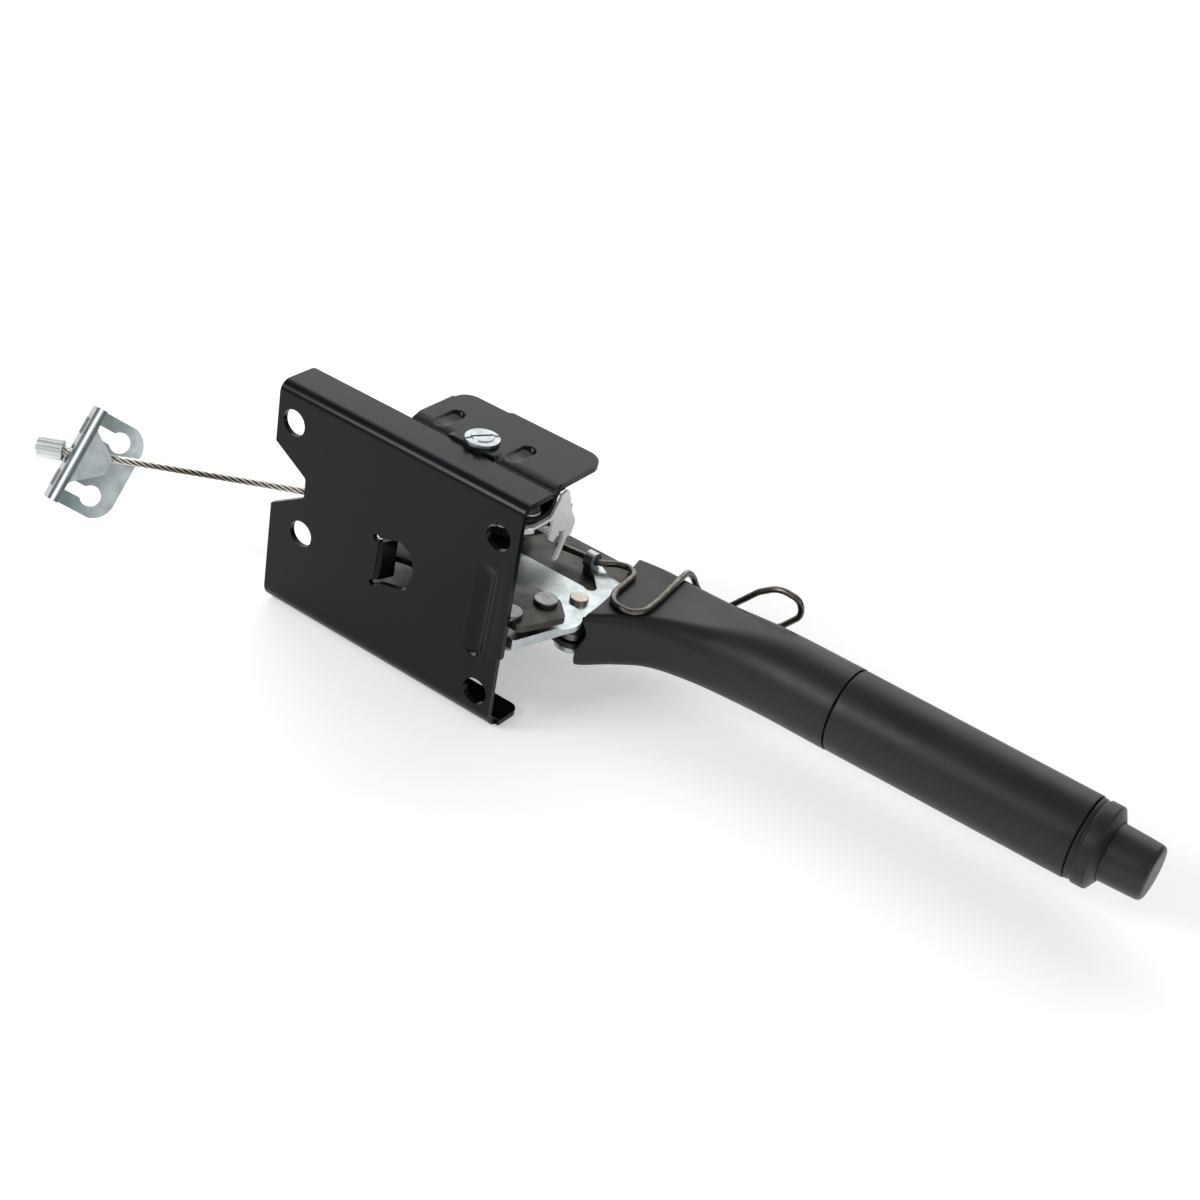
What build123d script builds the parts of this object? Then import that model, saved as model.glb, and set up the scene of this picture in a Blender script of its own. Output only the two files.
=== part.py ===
from build123d import *
import os
from math import cos, radians, sin, tan

# Hand-operated parking brake lever on a flanged mounting plate, with its wire rope and equaliser.
# Millimetres. X runs towards the handle's end, Y away from the plate's mounting face into the
# mechanism and Z up. The origin is the centre of the plate's first hole, on the mounting face.
# The lever swings about an upright pivot, so its plates lie flat, one above the other.

# Mounting plate, pressed from black sheet
sheet = 2.5
plate_left = -9.0
plate_right = 120.0
plate_top = 16.0
plate_bottom = -93.5
top_flange = 20.0
bottom_flange = 21.0
flange_step = 1.2
flange_step_x = 83.0
top_bend = 3.8
bottom_bend = 7.0
hole_d = 12.0
first_hole = (0.0, 0.0)
lower_left_hole = (9.1, -50.3)
right_holes_x = 110.0
right_holes_z = -39.8
right_holes_spacing = 75.6
top_corner = 1.5
bottom_corner = 4.5
notch_depth = 18.0
notch_mouth = 30.0
notch_blunt = 9.4
notch_z = -27.7
edge_step = 1.5
edge_step_z = -56.6
bead_top = (106.6, -15.5)
bead_length = 47.0
bead_width = 12.0
bead_depth = 1.8
bead_slope = 60.0
bead_lean = 88.0
tab_root = 47.0
tab_reach = 9.0
tab_low = -52.3
tab_w = 18.6

# Upper bracket, screwed on above the mechanism
bracket_left = 44.9
bracket_right = 119.7
bracket_far = 55.5
bracket_near = 20.5
bracket_top = 17.5
tongue_left = 66.5
tongue_right = 84.0
shelf_drop = 9.75
wall_top_y = 23.0
wall_lean = 3.5
wall_bend = 5.0
shelf_bend = 3.5
shelf_corner = 8.0
rib_length = 17.0
rib_width = 7.6
rib_depth = 2.4
rib_x = (56.6, 94.0)
rib_y = 30.5
screw_x = 77.3
screw_y = 26.2
screw_head_d = 15.0
screw_head_h = 2.6
screw_d = 6.0
nut_h = 5.0
nut_flats = 10.0
small_screw_x = 114.0
small_screw_y = 11.6
small_screw_d = 5.0
small_head_d = 9.4
small_head_h = 2.8
small_washer_d = 10.4
small_washer_t = 1.2
small_nut_flats = 8.0
small_nut_h = 3.8
small_nut_rim = 11.2
switch_sheet = 1.2
bolt_play = 0.1

# Heights of the flat layers, from the rope down
rope_z = -32.0
quadrant_t = 8.0
hub_drop = 4.5
drive_t = 3.0
layer_gap = 1.0
bearing_t = 3.0
cover_gap = 0.5
plate_b_t = 2.5
channel_sheet = 2.5
channel_h = 17.5
lower_gap = 5.0

# Pivot, rope drum and ratchet, seen from above
pivot_x = 60.0
pivot_y = 72.4
rope_d = 3.5
rope_radius = 28.0
rope_angle = 32.85
rope_length = 197.4
rim = 3.0
hub_d = 24.0
drum_corner = 4.0
nipple_d = 8.0
nipple_turn = 9.0
swing = 50.0
wrap_angle = 68.0
bolt_d = 10.0
bolt_flats = 17.0
bush_d = 16.0
fit = 0.05
side_play = 0.1
washer_t = 1.6
sector_t = 4.0
tip_radius = 44.0
tooth_h = 2.0
tooth_pitch = 3.75
tooth_first = -48.5
tooth_count = 13
pawl_x = 120.0
pawl_y = 53.0
pin_d = 6.0
pawl_hub_d = 10.4
pawl_gap = 0.3
pawl_tail = 7.6
rod_gap = 0.4
nose_angle = -50.0
rivet_d = 7.0
rivet_head_d = 10.4

# Lever, handle and button
handle_y = 89.7
handle_z = -61.75
far_edge = 96.0
tongue_w = 20.0
tongue_start = 150.0
tongue_end = 232.0
tube_od = 31.0
tube_wall = 1.9
tube_start = 200.0
tube_end = 348.8
grip_d = 37.4
grip_end_d = 36.4
boot_top = -48.8
boot_bottom = -74.0
boot_roof = 1.5
boot_wall = 3.0
boot_floor = 2.2
lip_h = 8.0
lip_reach = 1.8
seam_flat = 1.0
seam_x = 235.0
seam_gap = 0.4
collar_lap = 3.0
collar_reach = 8.2
button_d = 20.0
button_reach = 18.8
skirt_l = 14.0
rod_d = 5.0
rod_seat = 7.5
spring_d = 16.4
spring_wire = 1.6
spring_turns = 14
seat_back = 50.8
seat_t = 3.0
wire_d = 2.9

# Rope fittings
ferrule_d = 9.0
ferrule_l = 10.8
ferrule_gap = 4.0
rope_nub = 1.0
flutes = 8
flute_d = 1.8
web_l = 43.5
web_w = 20.0
leg_l = 27.0
leg_corner = 10.0
tongue_reach = 14.4
key_d = 9.2
slot_w = 5.4
key_spacing = 26.0
key_in = 16.4
equaliser_in = (0.6719, 0.5794, -0.4614)
equaliser_up = (0.7404, -0.5048, 0.4440)

# Places that follow from the sizes above
web_along = rope_length - rope_nub - ferrule_l - ferrule_gap
collar_x = tube_end - collar_lap
collar_end = tube_end + collar_reach
button_end = collar_end + button_reach
seat_x = tube_end - seat_back
tail_x = pawl_x + pawl_tail
quadrant_top = rope_z + quadrant_t / 2
drive_top = rope_z - quadrant_t / 2 - hub_drop
bearing_top = drive_top - drive_t - layer_gap
cover_top = bearing_top - bearing_t - cover_gap
plate_b_top = cover_top - plate_b_t
channel_top = plate_b_top - plate_b_t
channel_bottom = channel_top - channel_h
lower_bearing_top = channel_bottom - lower_gap
lower_bearing_bottom = lower_bearing_top - bearing_t
mid_z = (channel_top + channel_bottom) / 2
sector_z = mid_z - sector_t / 2
wire_z = boot_top + wire_d / 2 + 0.1
shelf_top = bracket_top - shelf_drop
shelf_bottom = shelf_top - sheet
rope_dir = (cos(radians(rope_angle)), sin(radians(rope_angle)))
touch = (pivot_x + rope_radius * rope_dir[1], pivot_y - rope_radius * rope_dir[0])
touch_angle = rope_angle - 90


def outline(corners):
    """Closed flat shape through (x, y, corner radius) points."""
    points = [(x, y) for x, y, radius in corners]
    radii = [radius for x, y, radius in corners]
    return make_face(FilletPolyline(*points, radius=radii, close=True))


def slab(shape, bottom, thickness):
    """Flat part cut to a plan shape, from height bottom upwards."""
    return extrude(Pos(0, 0, bottom) * shape, amount=thickness, dir=(0, 0, 1))


def across(shape, start, thickness):
    """Prism of an X-Z shape, from Y start onwards."""
    return extrude(Pos(0, start, 0) * (Plane.XZ * shape), amount=thickness, dir=(0, 1, 0))


def along(shape, start, length):
    """Prism of a Y-Z shape, from X start onwards."""
    return extrude(Pos(start, 0, 0) * (Plane.YZ * shape), amount=length, dir=(1, 0, 0))


def disc(x, y, radius, bottom, thickness, bore=0.0):
    """Upright round piece, with a bore where one is given."""
    ring = Circle(radius)
    if bore > 0:
        ring -= Circle(bore)
    return slab(Pos(x, y) * ring, bottom, thickness)


def hexagon(flats):
    """Hexagon with the given width across flats."""
    return RegularPolygon(flats / 2, 6, major_radius=False)


def polar(radius, angle):
    """Point about the pivot, at an angle in degrees."""
    turn = radians(angle)
    return (pivot_x + radius * cos(turn), pivot_y + radius * sin(turn))


def wedge(radius, start, end):
    """Pie shape about the pivot, for cutting arcs out of rings."""
    steps = int(abs(end - start) / 40) + 1
    rim_points = [polar(radius, start + (end - start) * i / steps) for i in range(steps + 1)]
    return make_face(Polyline((pivot_x, pivot_y), *rim_points, close=True))


def bent_sheet(points, radii, thickness):
    """Section of a sheet that follows a filleted middle line."""
    return trace(FilletPolyline(*points, radius=radii), thickness)


def round_bar(points, radii, diameter):
    """Bar or rope along straight runs joined by tangent arcs."""
    path = FilletPolyline(*points, radius=radii)
    return sweep(Plane(path @ 0, z_dir=path % 0) * Circle(diameter / 2), path)


def flange_plan(depth, corner):
    """Plan of the plate with one of its flanges, rounded at the free corners."""
    return outline([
        (plate_left, -1, 0), (plate_right, -1, 0), (plate_right, depth, corner),
        (plate_left, depth, corner)])


def mounting_plate():
    """Flanged plate with its holes, rope notch, window, lanced tab and stiffening bead."""
    middle = sheet / 2
    section = bent_sheet(
        [(top_flange, plate_top - middle), (middle, plate_top - middle),
         (middle, plate_bottom + middle), (bottom_flange, plate_bottom + middle)],
        [top_bend, bottom_bend], sheet)
    plate = along(section, plate_left, plate_right - plate_left)
    half_mouth = notch_mouth / 2
    notch = outline([
        (plate_left - 1, notch_z + half_mouth + 1, 0),
        (plate_left + notch_depth, notch_z + notch_blunt / 2, 2),
        (plate_left + notch_depth, notch_z - notch_blunt / 2, 2),
        (plate_left - 1, notch_z - half_mouth - 1, 0)])
    window = outline([
        (51.5, -31.4, 1), (62.3, -27.8, 3), (69.3, -31.3, 3), (71.1, -39.8, 6),
        (67.5, -49.6, 4), (59.5, -51.4, 3), (50.8, -53.6, 1)])
    half_span = right_holes_spacing / 2
    holes = [first_hole, lower_left_hole, (right_holes_x, right_holes_z + half_span),
             (right_holes_x, right_holes_z - half_span)]
    cuts = notch + window + Pos(49.9, -32.0) * Circle(1.7) + Pos(50.4, -54.2) * Circle(1.7)
    for x, z in holes:
        cuts += Pos(x, z) * Circle(hole_d / 2)
    step = Pos(plate_right - edge_step / 2, (edge_step_z + plate_bottom) / 2)
    cuts += step * Rectangle(edge_step, edge_step_z - plate_bottom)
    plate -= across(cuts, -1, 3 * sheet)
    shorter = Box(plate_right - flange_step_x + 1, 2 * flange_step, 3 * sheet)
    plate -= Pos((plate_right + flange_step_x + 1) / 2, top_flange, plate_top) * shorter
    place = Pos(bead_top[0], bead_top[1] - bead_length / 2) * Rot(0, 0, bead_lean)
    swell = Plane.XZ * (place * SlotOverall(bead_length + sheet / 2, bead_width + sheet / 2))
    dent = Plane.XZ * (place * SlotOverall(bead_length, bead_width))
    plate += extrude(Pos(0, sheet, 0) * swell, amount=bead_depth, dir=(0, 1, 0), taper=bead_slope)
    plate -= extrude(dent, amount=bead_depth, dir=(0, 1, 0), taper=bead_slope)
    tab = bent_sheet(
        [(tab_root, middle), (tab_root + 4.2, middle), (tab_root + 6.6, tab_reach)], [2.6], sheet)
    plate += slab(tab, tab_low, tab_w)
    half = (plate_top + plate_bottom) / 2
    upper = slab(flange_plan(top_flange, top_corner), half, plate_top - half + 1)
    lower = slab(flange_plan(bottom_flange, bottom_corner), plate_bottom - 1, half - plate_bottom + 1)
    return plate & (upper + lower)


def top_bracket():
    """Tab above the mechanism, with two stepped legs that reach down to the plate."""
    tab = outline([
        (bracket_left, 33, 0), (bracket_left + 1.6, bracket_far - 1.4, 7), (69, bracket_far - 1.4, 0),
        (71, bracket_far, 0), (bracket_right, bracket_far, 9), (bracket_right, 33, 0),
        (tongue_right, 33, 2), (tongue_right, bracket_near, 2), (tongue_left, bracket_near, 2),
        (tongue_left, 33, 2)])
    bracket = slab(tab, bracket_top - sheet, sheet)
    high = bracket_top - sheet / 2
    low = shelf_top - sheet / 2
    leg = bent_sheet(
        [(36, high), (wall_top_y, high), (wall_top_y - wall_lean, low), (sheet, low)],
        [wall_bend, shelf_bend], sheet)
    bracket += along(leg, bracket_left, tongue_left - 1 - bracket_left)
    end = outline([
        (tongue_right + 1, sheet, 0), (bracket_right, sheet, shelf_corner), (bracket_right, bracket_far, 0),
        (tongue_right + 1, bracket_far, 0)])
    right_leg = along(leg, tongue_right + 1, bracket_right - tongue_right - 1)
    bracket += right_leg & slab(end, shelf_bottom, bracket_top - shelf_bottom)
    for x in rib_x:
        place = Pos(x, rib_y) * Rot(0, 0, 90)
        under = place * SlotOverall(rib_length + sheet, rib_width + sheet)
        swell = slab(under, bracket_top - sheet - rib_depth, rib_depth)
        pit = Pos(0, 0, bracket_top) * place * SlotOverall(rib_length, rib_width)
        bracket += swell
        bracket -= extrude(pit, amount=rib_depth, dir=(0, 0, -1), taper=20)
    bracket -= disc(screw_x, screw_y, screw_d / 2 + 2 * bolt_play, bracket_top - 2 * sheet, 3 * sheet)
    bore = small_screw_d / 2 + 2 * bolt_play
    return bracket - disc(small_screw_x, small_screw_y, bore, shelf_bottom - 1, 2 * sheet)


def bracket_screw():
    """Slotted cheese-head screw through the tab."""
    head = disc(screw_x, screw_y, screw_head_d / 2, bracket_top, screw_head_h)
    head = chamfer(head.edges().group_by(Axis.Z)[-1], 0.5)
    slot = Rot(0, 0, 76) * Box(screw_head_d + 1, 1.7, 2.4)
    slot = Pos(screw_x, screw_y, bracket_top + screw_head_h) * slot
    shank_l = sheet + nut_h + 3
    return head - slot + disc(screw_x, screw_y, screw_d / 2, bracket_top - shank_l, shank_l)


def bracket_nut():
    """Hexagon nut under the tab."""
    place = Pos(screw_x, screw_y) * (hexagon(nut_flats) - Circle(screw_d / 2 + bolt_play))
    return slab(place, bracket_top - sheet - nut_h, nut_h)


def switch_bracket():
    """Thin zinc sheet under the shelf, with an upright side, a ribbed lug and a long feeler."""
    side_x = bracket_right + 0.4
    top = shelf_bottom
    low = top - switch_sheet
    flange = outline([
        (side_x - 15, 4.8, 2), (side_x + switch_sheet, 4.8, 2), (side_x + switch_sheet, 23, 0),
        (side_x - 15, 18, 3)])
    flange -= Pos(small_screw_x, small_screw_y) * Circle(small_screw_d / 2 + 2 * bolt_play)
    part = slab(flange, low, switch_sheet)
    side = outline([
        (12, low, 0), (12, top, 0), (18.5, top, 2), (24.2, top + 8.6, 2), (28.4, top + 9.8, 2),
        (31.4, top, 8), (36.8, -3.4, 4), (34.6, -9.2, 1.5), (29.4, -9.2, 0), (29.4, -4.8, 1.5),
        (26.2, -3.4, 1.5), (22.6, -8.0, 1), (19.4, -5.6, 1), (20.2, low, 1.5)])
    part += along(side, side_x, switch_sheet)
    lug = Pos(side_x - 3.5, 24.2, -5.4) * Box(9.4, 3.2, switch_sheet)
    part += lug
    for i in range(3):
        part += Pos(side_x - 6.5 + 2.2 * i, 24.2, -4.8) * Box(0.8, 3.2, 1)
    feeler = bent_sheet(
        [(side_x + 0.6, -4), (side_x + 0.6, -9), (side_x - 1.9, -21)], [3], switch_sheet)
    return part + across(feeler, 29.6, 2.6)


def shelf_screw():
    """Round-headed screw with a cross recess, through the shelf."""
    seat = shelf_top + small_washer_t
    head = disc(small_screw_x, small_screw_y, small_head_d / 2, seat, small_head_h)
    head = fillet(head.edges().group_by(Axis.Z)[-1], 1.2)
    for turn in (20, 110):
        bar = Rot(0, 0, turn) * Box(4.6, 1.1, 2.6)
        head -= Pos(small_screw_x, small_screw_y, seat + small_head_h) * bar
    length = seat - shelf_bottom + switch_sheet + small_washer_t + small_nut_h + 2.5
    return head + disc(small_screw_x, small_screw_y, small_screw_d / 2, seat - length, length)


def shelf_washer():
    """Washer under the round head."""
    bore = small_screw_d / 2 + bolt_play
    return disc(small_screw_x, small_screw_y, small_washer_d / 2, shelf_top, small_washer_t, bore)


def shelf_nut():
    """Flanged nut that clamps the thin sheet under the shelf."""
    seat = shelf_bottom - switch_sheet - small_washer_t
    bore = Circle(small_screw_d / 2 + bolt_play)
    place = Pos(small_screw_x, small_screw_y)
    nut = slab(place * (Circle(small_nut_rim / 2) - bore), seat, small_washer_t)
    return nut + slab(place * (hexagon(small_nut_flats) - bore), seat - small_nut_h, small_nut_h)


def bearing_blank(arch):
    """Plan of a bearing plate: a wide foot on the mounting plate and a round top at the pivot."""
    foot = outline([
        (40, sheet, 0), (84, sheet, 0), (84, 40, 10), (pivot_x + 17, pivot_y - 8, 8),
        (pivot_x + 10, pivot_y, 0), (pivot_x - 10, pivot_y, 0), (pivot_x - 17, pivot_y - 8, 8), (40, 36, 10)])
    plan = foot + Pos(pivot_x, pivot_y) * Circle(17)
    if arch:
        plan -= Pos(61, sheet) * SlotOverall(26, 22)
    return plan - Pos(pivot_x, pivot_y) * Circle(bolt_d / 2 + 0.1)


def bearing_plate_upper():
    """Upper side of the pivot fork, arched over the plate's window."""
    return slab(bearing_blank(True), bearing_top - bearing_t, bearing_t)


def bearing_plate_lower():
    """Lower side of the pivot fork, with a foot bent down along the mounting plate."""
    plate = slab(bearing_blank(False), lower_bearing_bottom, bearing_t)
    middle = bearing_t / 2
    foot = bent_sheet(
        [(16, lower_bearing_bottom + middle), (sheet + middle, lower_bearing_bottom + middle),
         (sheet + middle, lower_bearing_bottom - 6)], [3], bearing_t)
    plate -= Pos(62, sheet, lower_bearing_bottom) * Box(60, 14, 20)
    return plate + along(foot, 42, 40)


def toothed_sector():
    """Fixed ratchet sector, with a plain land where the pawl rests and teeth along the swing."""
    plan = Pos(pivot_x, pivot_y) * Circle(tip_radius)
    plan &= wedge(2 * tip_radius, tooth_first - 8.5, tooth_first + tooth_pitch * tooth_count + 2.5)
    plan += outline([
        (40, sheet, 0), (86, sheet, 0), polar(tip_radius - 1, tooth_first - 8.0) + (0,),
        (pivot_x + 12, pivot_y, 0), (pivot_x - 15, pivot_y, 0), (40, 34, 12)])
    plan += Pos(pivot_x, pivot_y) * Circle(bush_d / 2 + 7)
    root = tip_radius - tooth_h
    for i in range(tooth_count):
        start = tooth_first + i * tooth_pitch
        plan -= make_face(Polyline(
            polar(tip_radius + 0.6, start), polar(tip_radius, start), polar(root, start + 0.4),
            polar(tip_radius, start + tooth_pitch - 0.4), polar(tip_radius + 0.6, start + tooth_pitch - 0.4),
            close=True))
    plan -= Pos(pivot_x, pivot_y) * Circle(bush_d / 2 + fit)
    return slab(plan, sector_z, sector_t)


def pivot_bolt():
    """Hexagon-headed pivot bolt, upright through the whole stack."""
    head_z = quadrant_top + side_play + washer_t
    end_z = lower_bearing_bottom - washer_t - 8 - 2
    bolt = disc(pivot_x, pivot_y, bolt_d / 2, end_z, head_z - end_z)
    return bolt + slab(Pos(pivot_x, pivot_y) * hexagon(bolt_flats), head_z, 6.4)


def pivot_nut():
    """Nut under the fork."""
    place = Pos(pivot_x, pivot_y) * (hexagon(bolt_flats) - Circle(bolt_d / 2 + 0.1))
    return slab(place, lower_bearing_bottom - washer_t - 8, 8)


def pivot_washers():
    """Two like washers, under the head and under the fork."""
    bore = bolt_d / 2 + 0.1
    upper = disc(pivot_x, pivot_y, 10, quadrant_top + side_play, washer_t, bore)
    lower = disc(pivot_x, pivot_y, 10, lower_bearing_bottom - washer_t, washer_t, bore)
    return Compound(children=[upper, lower])


def pivot_bush():
    """Spacer tube clamped between the fork's sides; the lever turns on it."""
    length = bearing_top - bearing_t - lower_bearing_top
    return disc(pivot_x, pivot_y, bush_d / 2, lower_bearing_top, length, bolt_d / 2 + 0.1)


def thrust_washer():
    """Washer between the fork and the drive plate."""
    return disc(pivot_x, pivot_y, 11, bearing_top, layer_gap - side_play, bolt_d / 2 + 0.1)


def spacer_upper():
    """Ring that fills the play above the lever plates."""
    return disc(pivot_x, pivot_y, 12, plate_b_top + side_play, cover_gap + plate_b_t - side_play,
                bush_d / 2 + fit)


def spacer_lower():
    """Ring that fills the play under the channel."""
    return disc(pivot_x, pivot_y, 12, lower_bearing_top, lower_gap - side_play, bush_d / 2 + fit)


def channel_plan():
    """Outer plan of the pressed lever channel, from the pivot to the tongue in the handle."""
    near = handle_y - tongue_w / 2
    far = handle_y + tongue_w / 2
    body = outline([
        (pivot_x + 2, pivot_y - 17, 0), (pawl_x - 2, pawl_y - 7.5, 3), (pawl_x + 6, pawl_y - 5, 4),
        (pawl_x + 16, pawl_y + 17, 20), (tongue_start, near, 12), (tongue_end, near, 0),
        (tongue_end, far, 0), (tongue_start, far, 20), (tongue_start - 18, far_edge, 20),
        (pivot_x + 8, far_edge, 5), (pivot_x - 6, pivot_y + 14, 0)])
    return body + Pos(pivot_x, pivot_y) * Circle(18) + Pos(pawl_x, pawl_y) * Circle(7.5)


def lever_channel():
    """Pressed U-channel, open towards the mounting plate, whose tongue runs into the handle tube."""
    plan = channel_plan()
    channel = slab(plan, channel_bottom, channel_h)
    hollow = offset(plan, amount=-channel_sheet)
    hollow += Pos(tongue_end, handle_y) * Rectangle(3 * channel_sheet, tongue_w - 2 * channel_sheet)
    open_side = outline([
        (pivot_x - 30, pivot_y - 30, 0), (tongue_end + 10, pivot_y - 30, 0),
        (tongue_end + 10, handle_y, 0), (pivot_x + 15, handle_y, 0), (pivot_x + 15, far_edge + 4, 0),
        (pivot_x - 30, far_edge + 4, 0)])
    cavity = slab(hollow + open_side, channel_bottom + channel_sheet, channel_h - 2 * channel_sheet)
    channel -= cavity
    channel -= disc(pivot_x, pivot_y, bush_d / 2 + fit, channel_bottom - 1, channel_h + 2)
    return channel - disc(pawl_x, pawl_y, pin_d / 2 + fit, channel_bottom - 1, channel_h + 2)


def lever_plate():
    """Zinc-plated upper plate of the lever, with the hooked arm that ends in a rolled wire eye."""
    plan = outline([
        (98, 5.2, 2), (122, 5.2, 1.5), (129.3, 31, 4), (128.6, 44, 3), (131.8, 53, 4), (132.6, 60, 8),
        (131, 69, 8), (126, 78, 6), (117.5, 79.0, 4), (109.4, 83.6, 0), (104.8, 83.2, 0),
        (104.8, 77.0, 0), (112.4, 74.4, 3), (120, 66.5, 3), (119.5, 61.6, 2.6), (114.5, 63.5, 1),
        (72, 63.5, 3), (56, 62, 0), (70, 52, 25)])
    plan += Pos(pivot_x, pivot_y) * Circle(15)
    plan -= Pos(pivot_x, pivot_y) * Circle(bush_d / 2 + fit)
    plan -= Pos(pawl_x, pawl_y) * Circle(pin_d / 2 + fit)
    for x, y in rivet_places():
        plan -= Pos(x, y) * Circle(rivet_d / 2 + fit)
    plate = slab(plan, plate_b_top - plate_b_t, plate_b_t)
    eye_in = wire_d / 2 + 0.3
    ring = Circle(eye_in + 2.2) - Circle(eye_in)
    ring -= Pos(-5, 5) * Rectangle(10, 10)
    eye = along(Pos(79.4, wire_z) * ring, 104.8, 4.6)
    return plate + eye


def rivet_places():
    """Two rivets that tie the drive plate to the lever plates."""
    return [(119.3, 28.0), (115.3, 9.4)]


def reinforcing_plate():
    """Zinc doubler on the lever plate, under the rivets."""
    plan = outline([(98, 5.2, 2), (122, 5.2, 1.5), (129.9, 31, 2), (122.5, 42, 0), (104, 38, 12)])
    plan += Pos(122.5, 34) * Circle(10.5)
    for x, y in rivet_places():
        plan -= Pos(x, y) * Circle(rivet_d / 2 + fit)
    return slab(plan, plate_b_top, plate_b_t)


def drive_plate():
    """Dark plate that carries the pull from the lever up to the rope drum."""
    plan = outline([
        (47, 66, 0), (73, 77, 0), (86, 50, 14), (100.5, 24.5, 3), (108, 33.8, 5), (122.4, 34.4, 6),
        (131.8, 25.4, 2.5), (123.6, 5.2, 3), (108, 5.2, 8), (88, 14, 10), (70, 38, 20)])
    plan += Pos(pivot_x, pivot_y) * Circle(14)
    plan -= Pos(pivot_x, pivot_y) * Circle(bolt_d / 2 + fit)
    for x, y in rivet_places():
        plan -= Pos(x, y) * Circle(rivet_d / 2 + fit)
    return slab(plan, drive_top - drive_t, drive_t)


def drive_rivets():
    """Two shouldered rivets, one solid each."""
    rivets = []
    tail_z = channel_top - 2
    for x, y in rivet_places():
        rivet = disc(x, y, rivet_head_d / 2, drive_top, 2.0)
        rivet = chamfer(rivet.edges().group_by(Axis.Z)[-1], 0.4)
        rivet += disc(x, y, rivet_d / 2, channel_top, drive_top - channel_top)
        rivet += disc(x, y, rivet_head_d / 2 - 0.2, cover_top, drive_top - drive_t - cover_top)
        rivet += disc(x, y, rivet_head_d / 2 - 0.4, tail_z, 2.0)
        rivets.append(rivet)
    return Compound(children=rivets)


def cable_quadrant():
    """Grooved rope drum on its hub; the groove is long enough for the whole swing."""
    start = touch_angle - swing - 5
    end = touch_angle + wrap_angle + 21
    outer = rope_radius + rim
    plan = Pos(pivot_x, pivot_y) * Circle(outer)
    plan &= wedge(2 * outer, start, end)
    plan += Pos(pivot_x, pivot_y) * Circle(hub_d / 2)
    plan = offset(offset(plan, amount=-drum_corner), amount=drum_corner)
    drum = slab(plan, quadrant_top - quadrant_t, quadrant_t)
    drum += disc(pivot_x, pivot_y, hub_d / 2, drive_top, hub_drop)
    groove = Pos(rope_radius, 0) * Circle(rope_d / 2 + fit)
    groove += Pos(rope_radius + rim, 0) * Rectangle(2 * rim, rope_d + 2 * fit)
    drum -= Pos(pivot_x, pivot_y, rope_z) * revolve(Plane.XZ * groove, Axis.Z)
    x, y = polar(rope_radius, touch_angle + wrap_angle + nipple_turn)
    drum -= disc(x, y, nipple_d / 2 + bolt_play, quadrant_top - quadrant_t + 1, quadrant_t)
    return drum - disc(pivot_x, pivot_y, bolt_d / 2 + fit, drive_top - 1, quadrant_t + hub_drop + 2)


def cable_wrap():
    """The rope's end, laid in the drum's groove."""
    start = touch_angle + 0.6
    path = CenterArc((pivot_x, pivot_y), rope_radius, start, wrap_angle)
    path = Pos(0, 0, rope_z) * path
    return sweep(Plane(path @ 0, z_dir=path % 0) * Circle(rope_d / 2), path)


def cable_nipple():
    """Barrel nipple that holds the rope's end in the drum."""
    x, y = polar(rope_radius, touch_angle + wrap_angle + nipple_turn)
    return disc(x, y, nipple_d / 2, quadrant_top - quadrant_t + 1, quadrant_t - 0.6)


def pawl_pin():
    """Headed pin of the pawl."""
    tail_z = channel_bottom - 2.5 - 1.5
    pin = disc(pawl_x, pawl_y, 4.1, plate_b_top, 2.2)
    pin = fillet(pin.edges().group_by(Axis.Z)[-1], 0.5)
    pin += disc(pawl_x, pawl_y, pin_d / 2, tail_z, plate_b_top - tail_z)
    return pin + disc(pawl_x, pawl_y, 4.2, tail_z, 1.5)


def pawl_pin_washer():
    """Large zinc washer under the channel."""
    return disc(pawl_x, pawl_y, 7.5, channel_bottom - 2.5, 2.5, pin_d / 2 + fit)


def pawl():
    """Flat pawl: its nose stands over the sector and its tail faces the button's rod."""
    nose_in = polar(tip_radius + pawl_gap, nose_angle)
    nose_out = polar(tip_radius + pawl_gap + 0.1, nose_angle + 3.6)
    plan = outline([
        nose_in + (0,), nose_out + (0,), (pawl_x - 16, pawl_y - 1.5, 8), (pawl_x - 5, pawl_y + 5, 3),
        (pawl_x - 0.4, pawl_y + 19, 12), (pawl_x + 0.2, handle_y + 2.3, 2), (tail_x, handle_y + 2.3, 1.5),
        (tail_x, handle_y - 5.7, 6), (pawl_x + 6.4, pawl_y + 2, 5), (pawl_x + 2, pawl_y - 6.8, 5),
        (pawl_x - 14, pawl_y - 10.2, 10)])
    plan += Pos(pawl_x, pawl_y) * Circle(6.9)
    part = slab(plan, sector_z, sector_t)
    inner = channel_h - 2 * channel_sheet - 2 * side_play
    part += disc(pawl_x, pawl_y, pawl_hub_d / 2, mid_z - inner / 2, inner)
    return part - disc(pawl_x, pawl_y, pin_d / 2 + fit, channel_bottom, channel_h)


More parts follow.
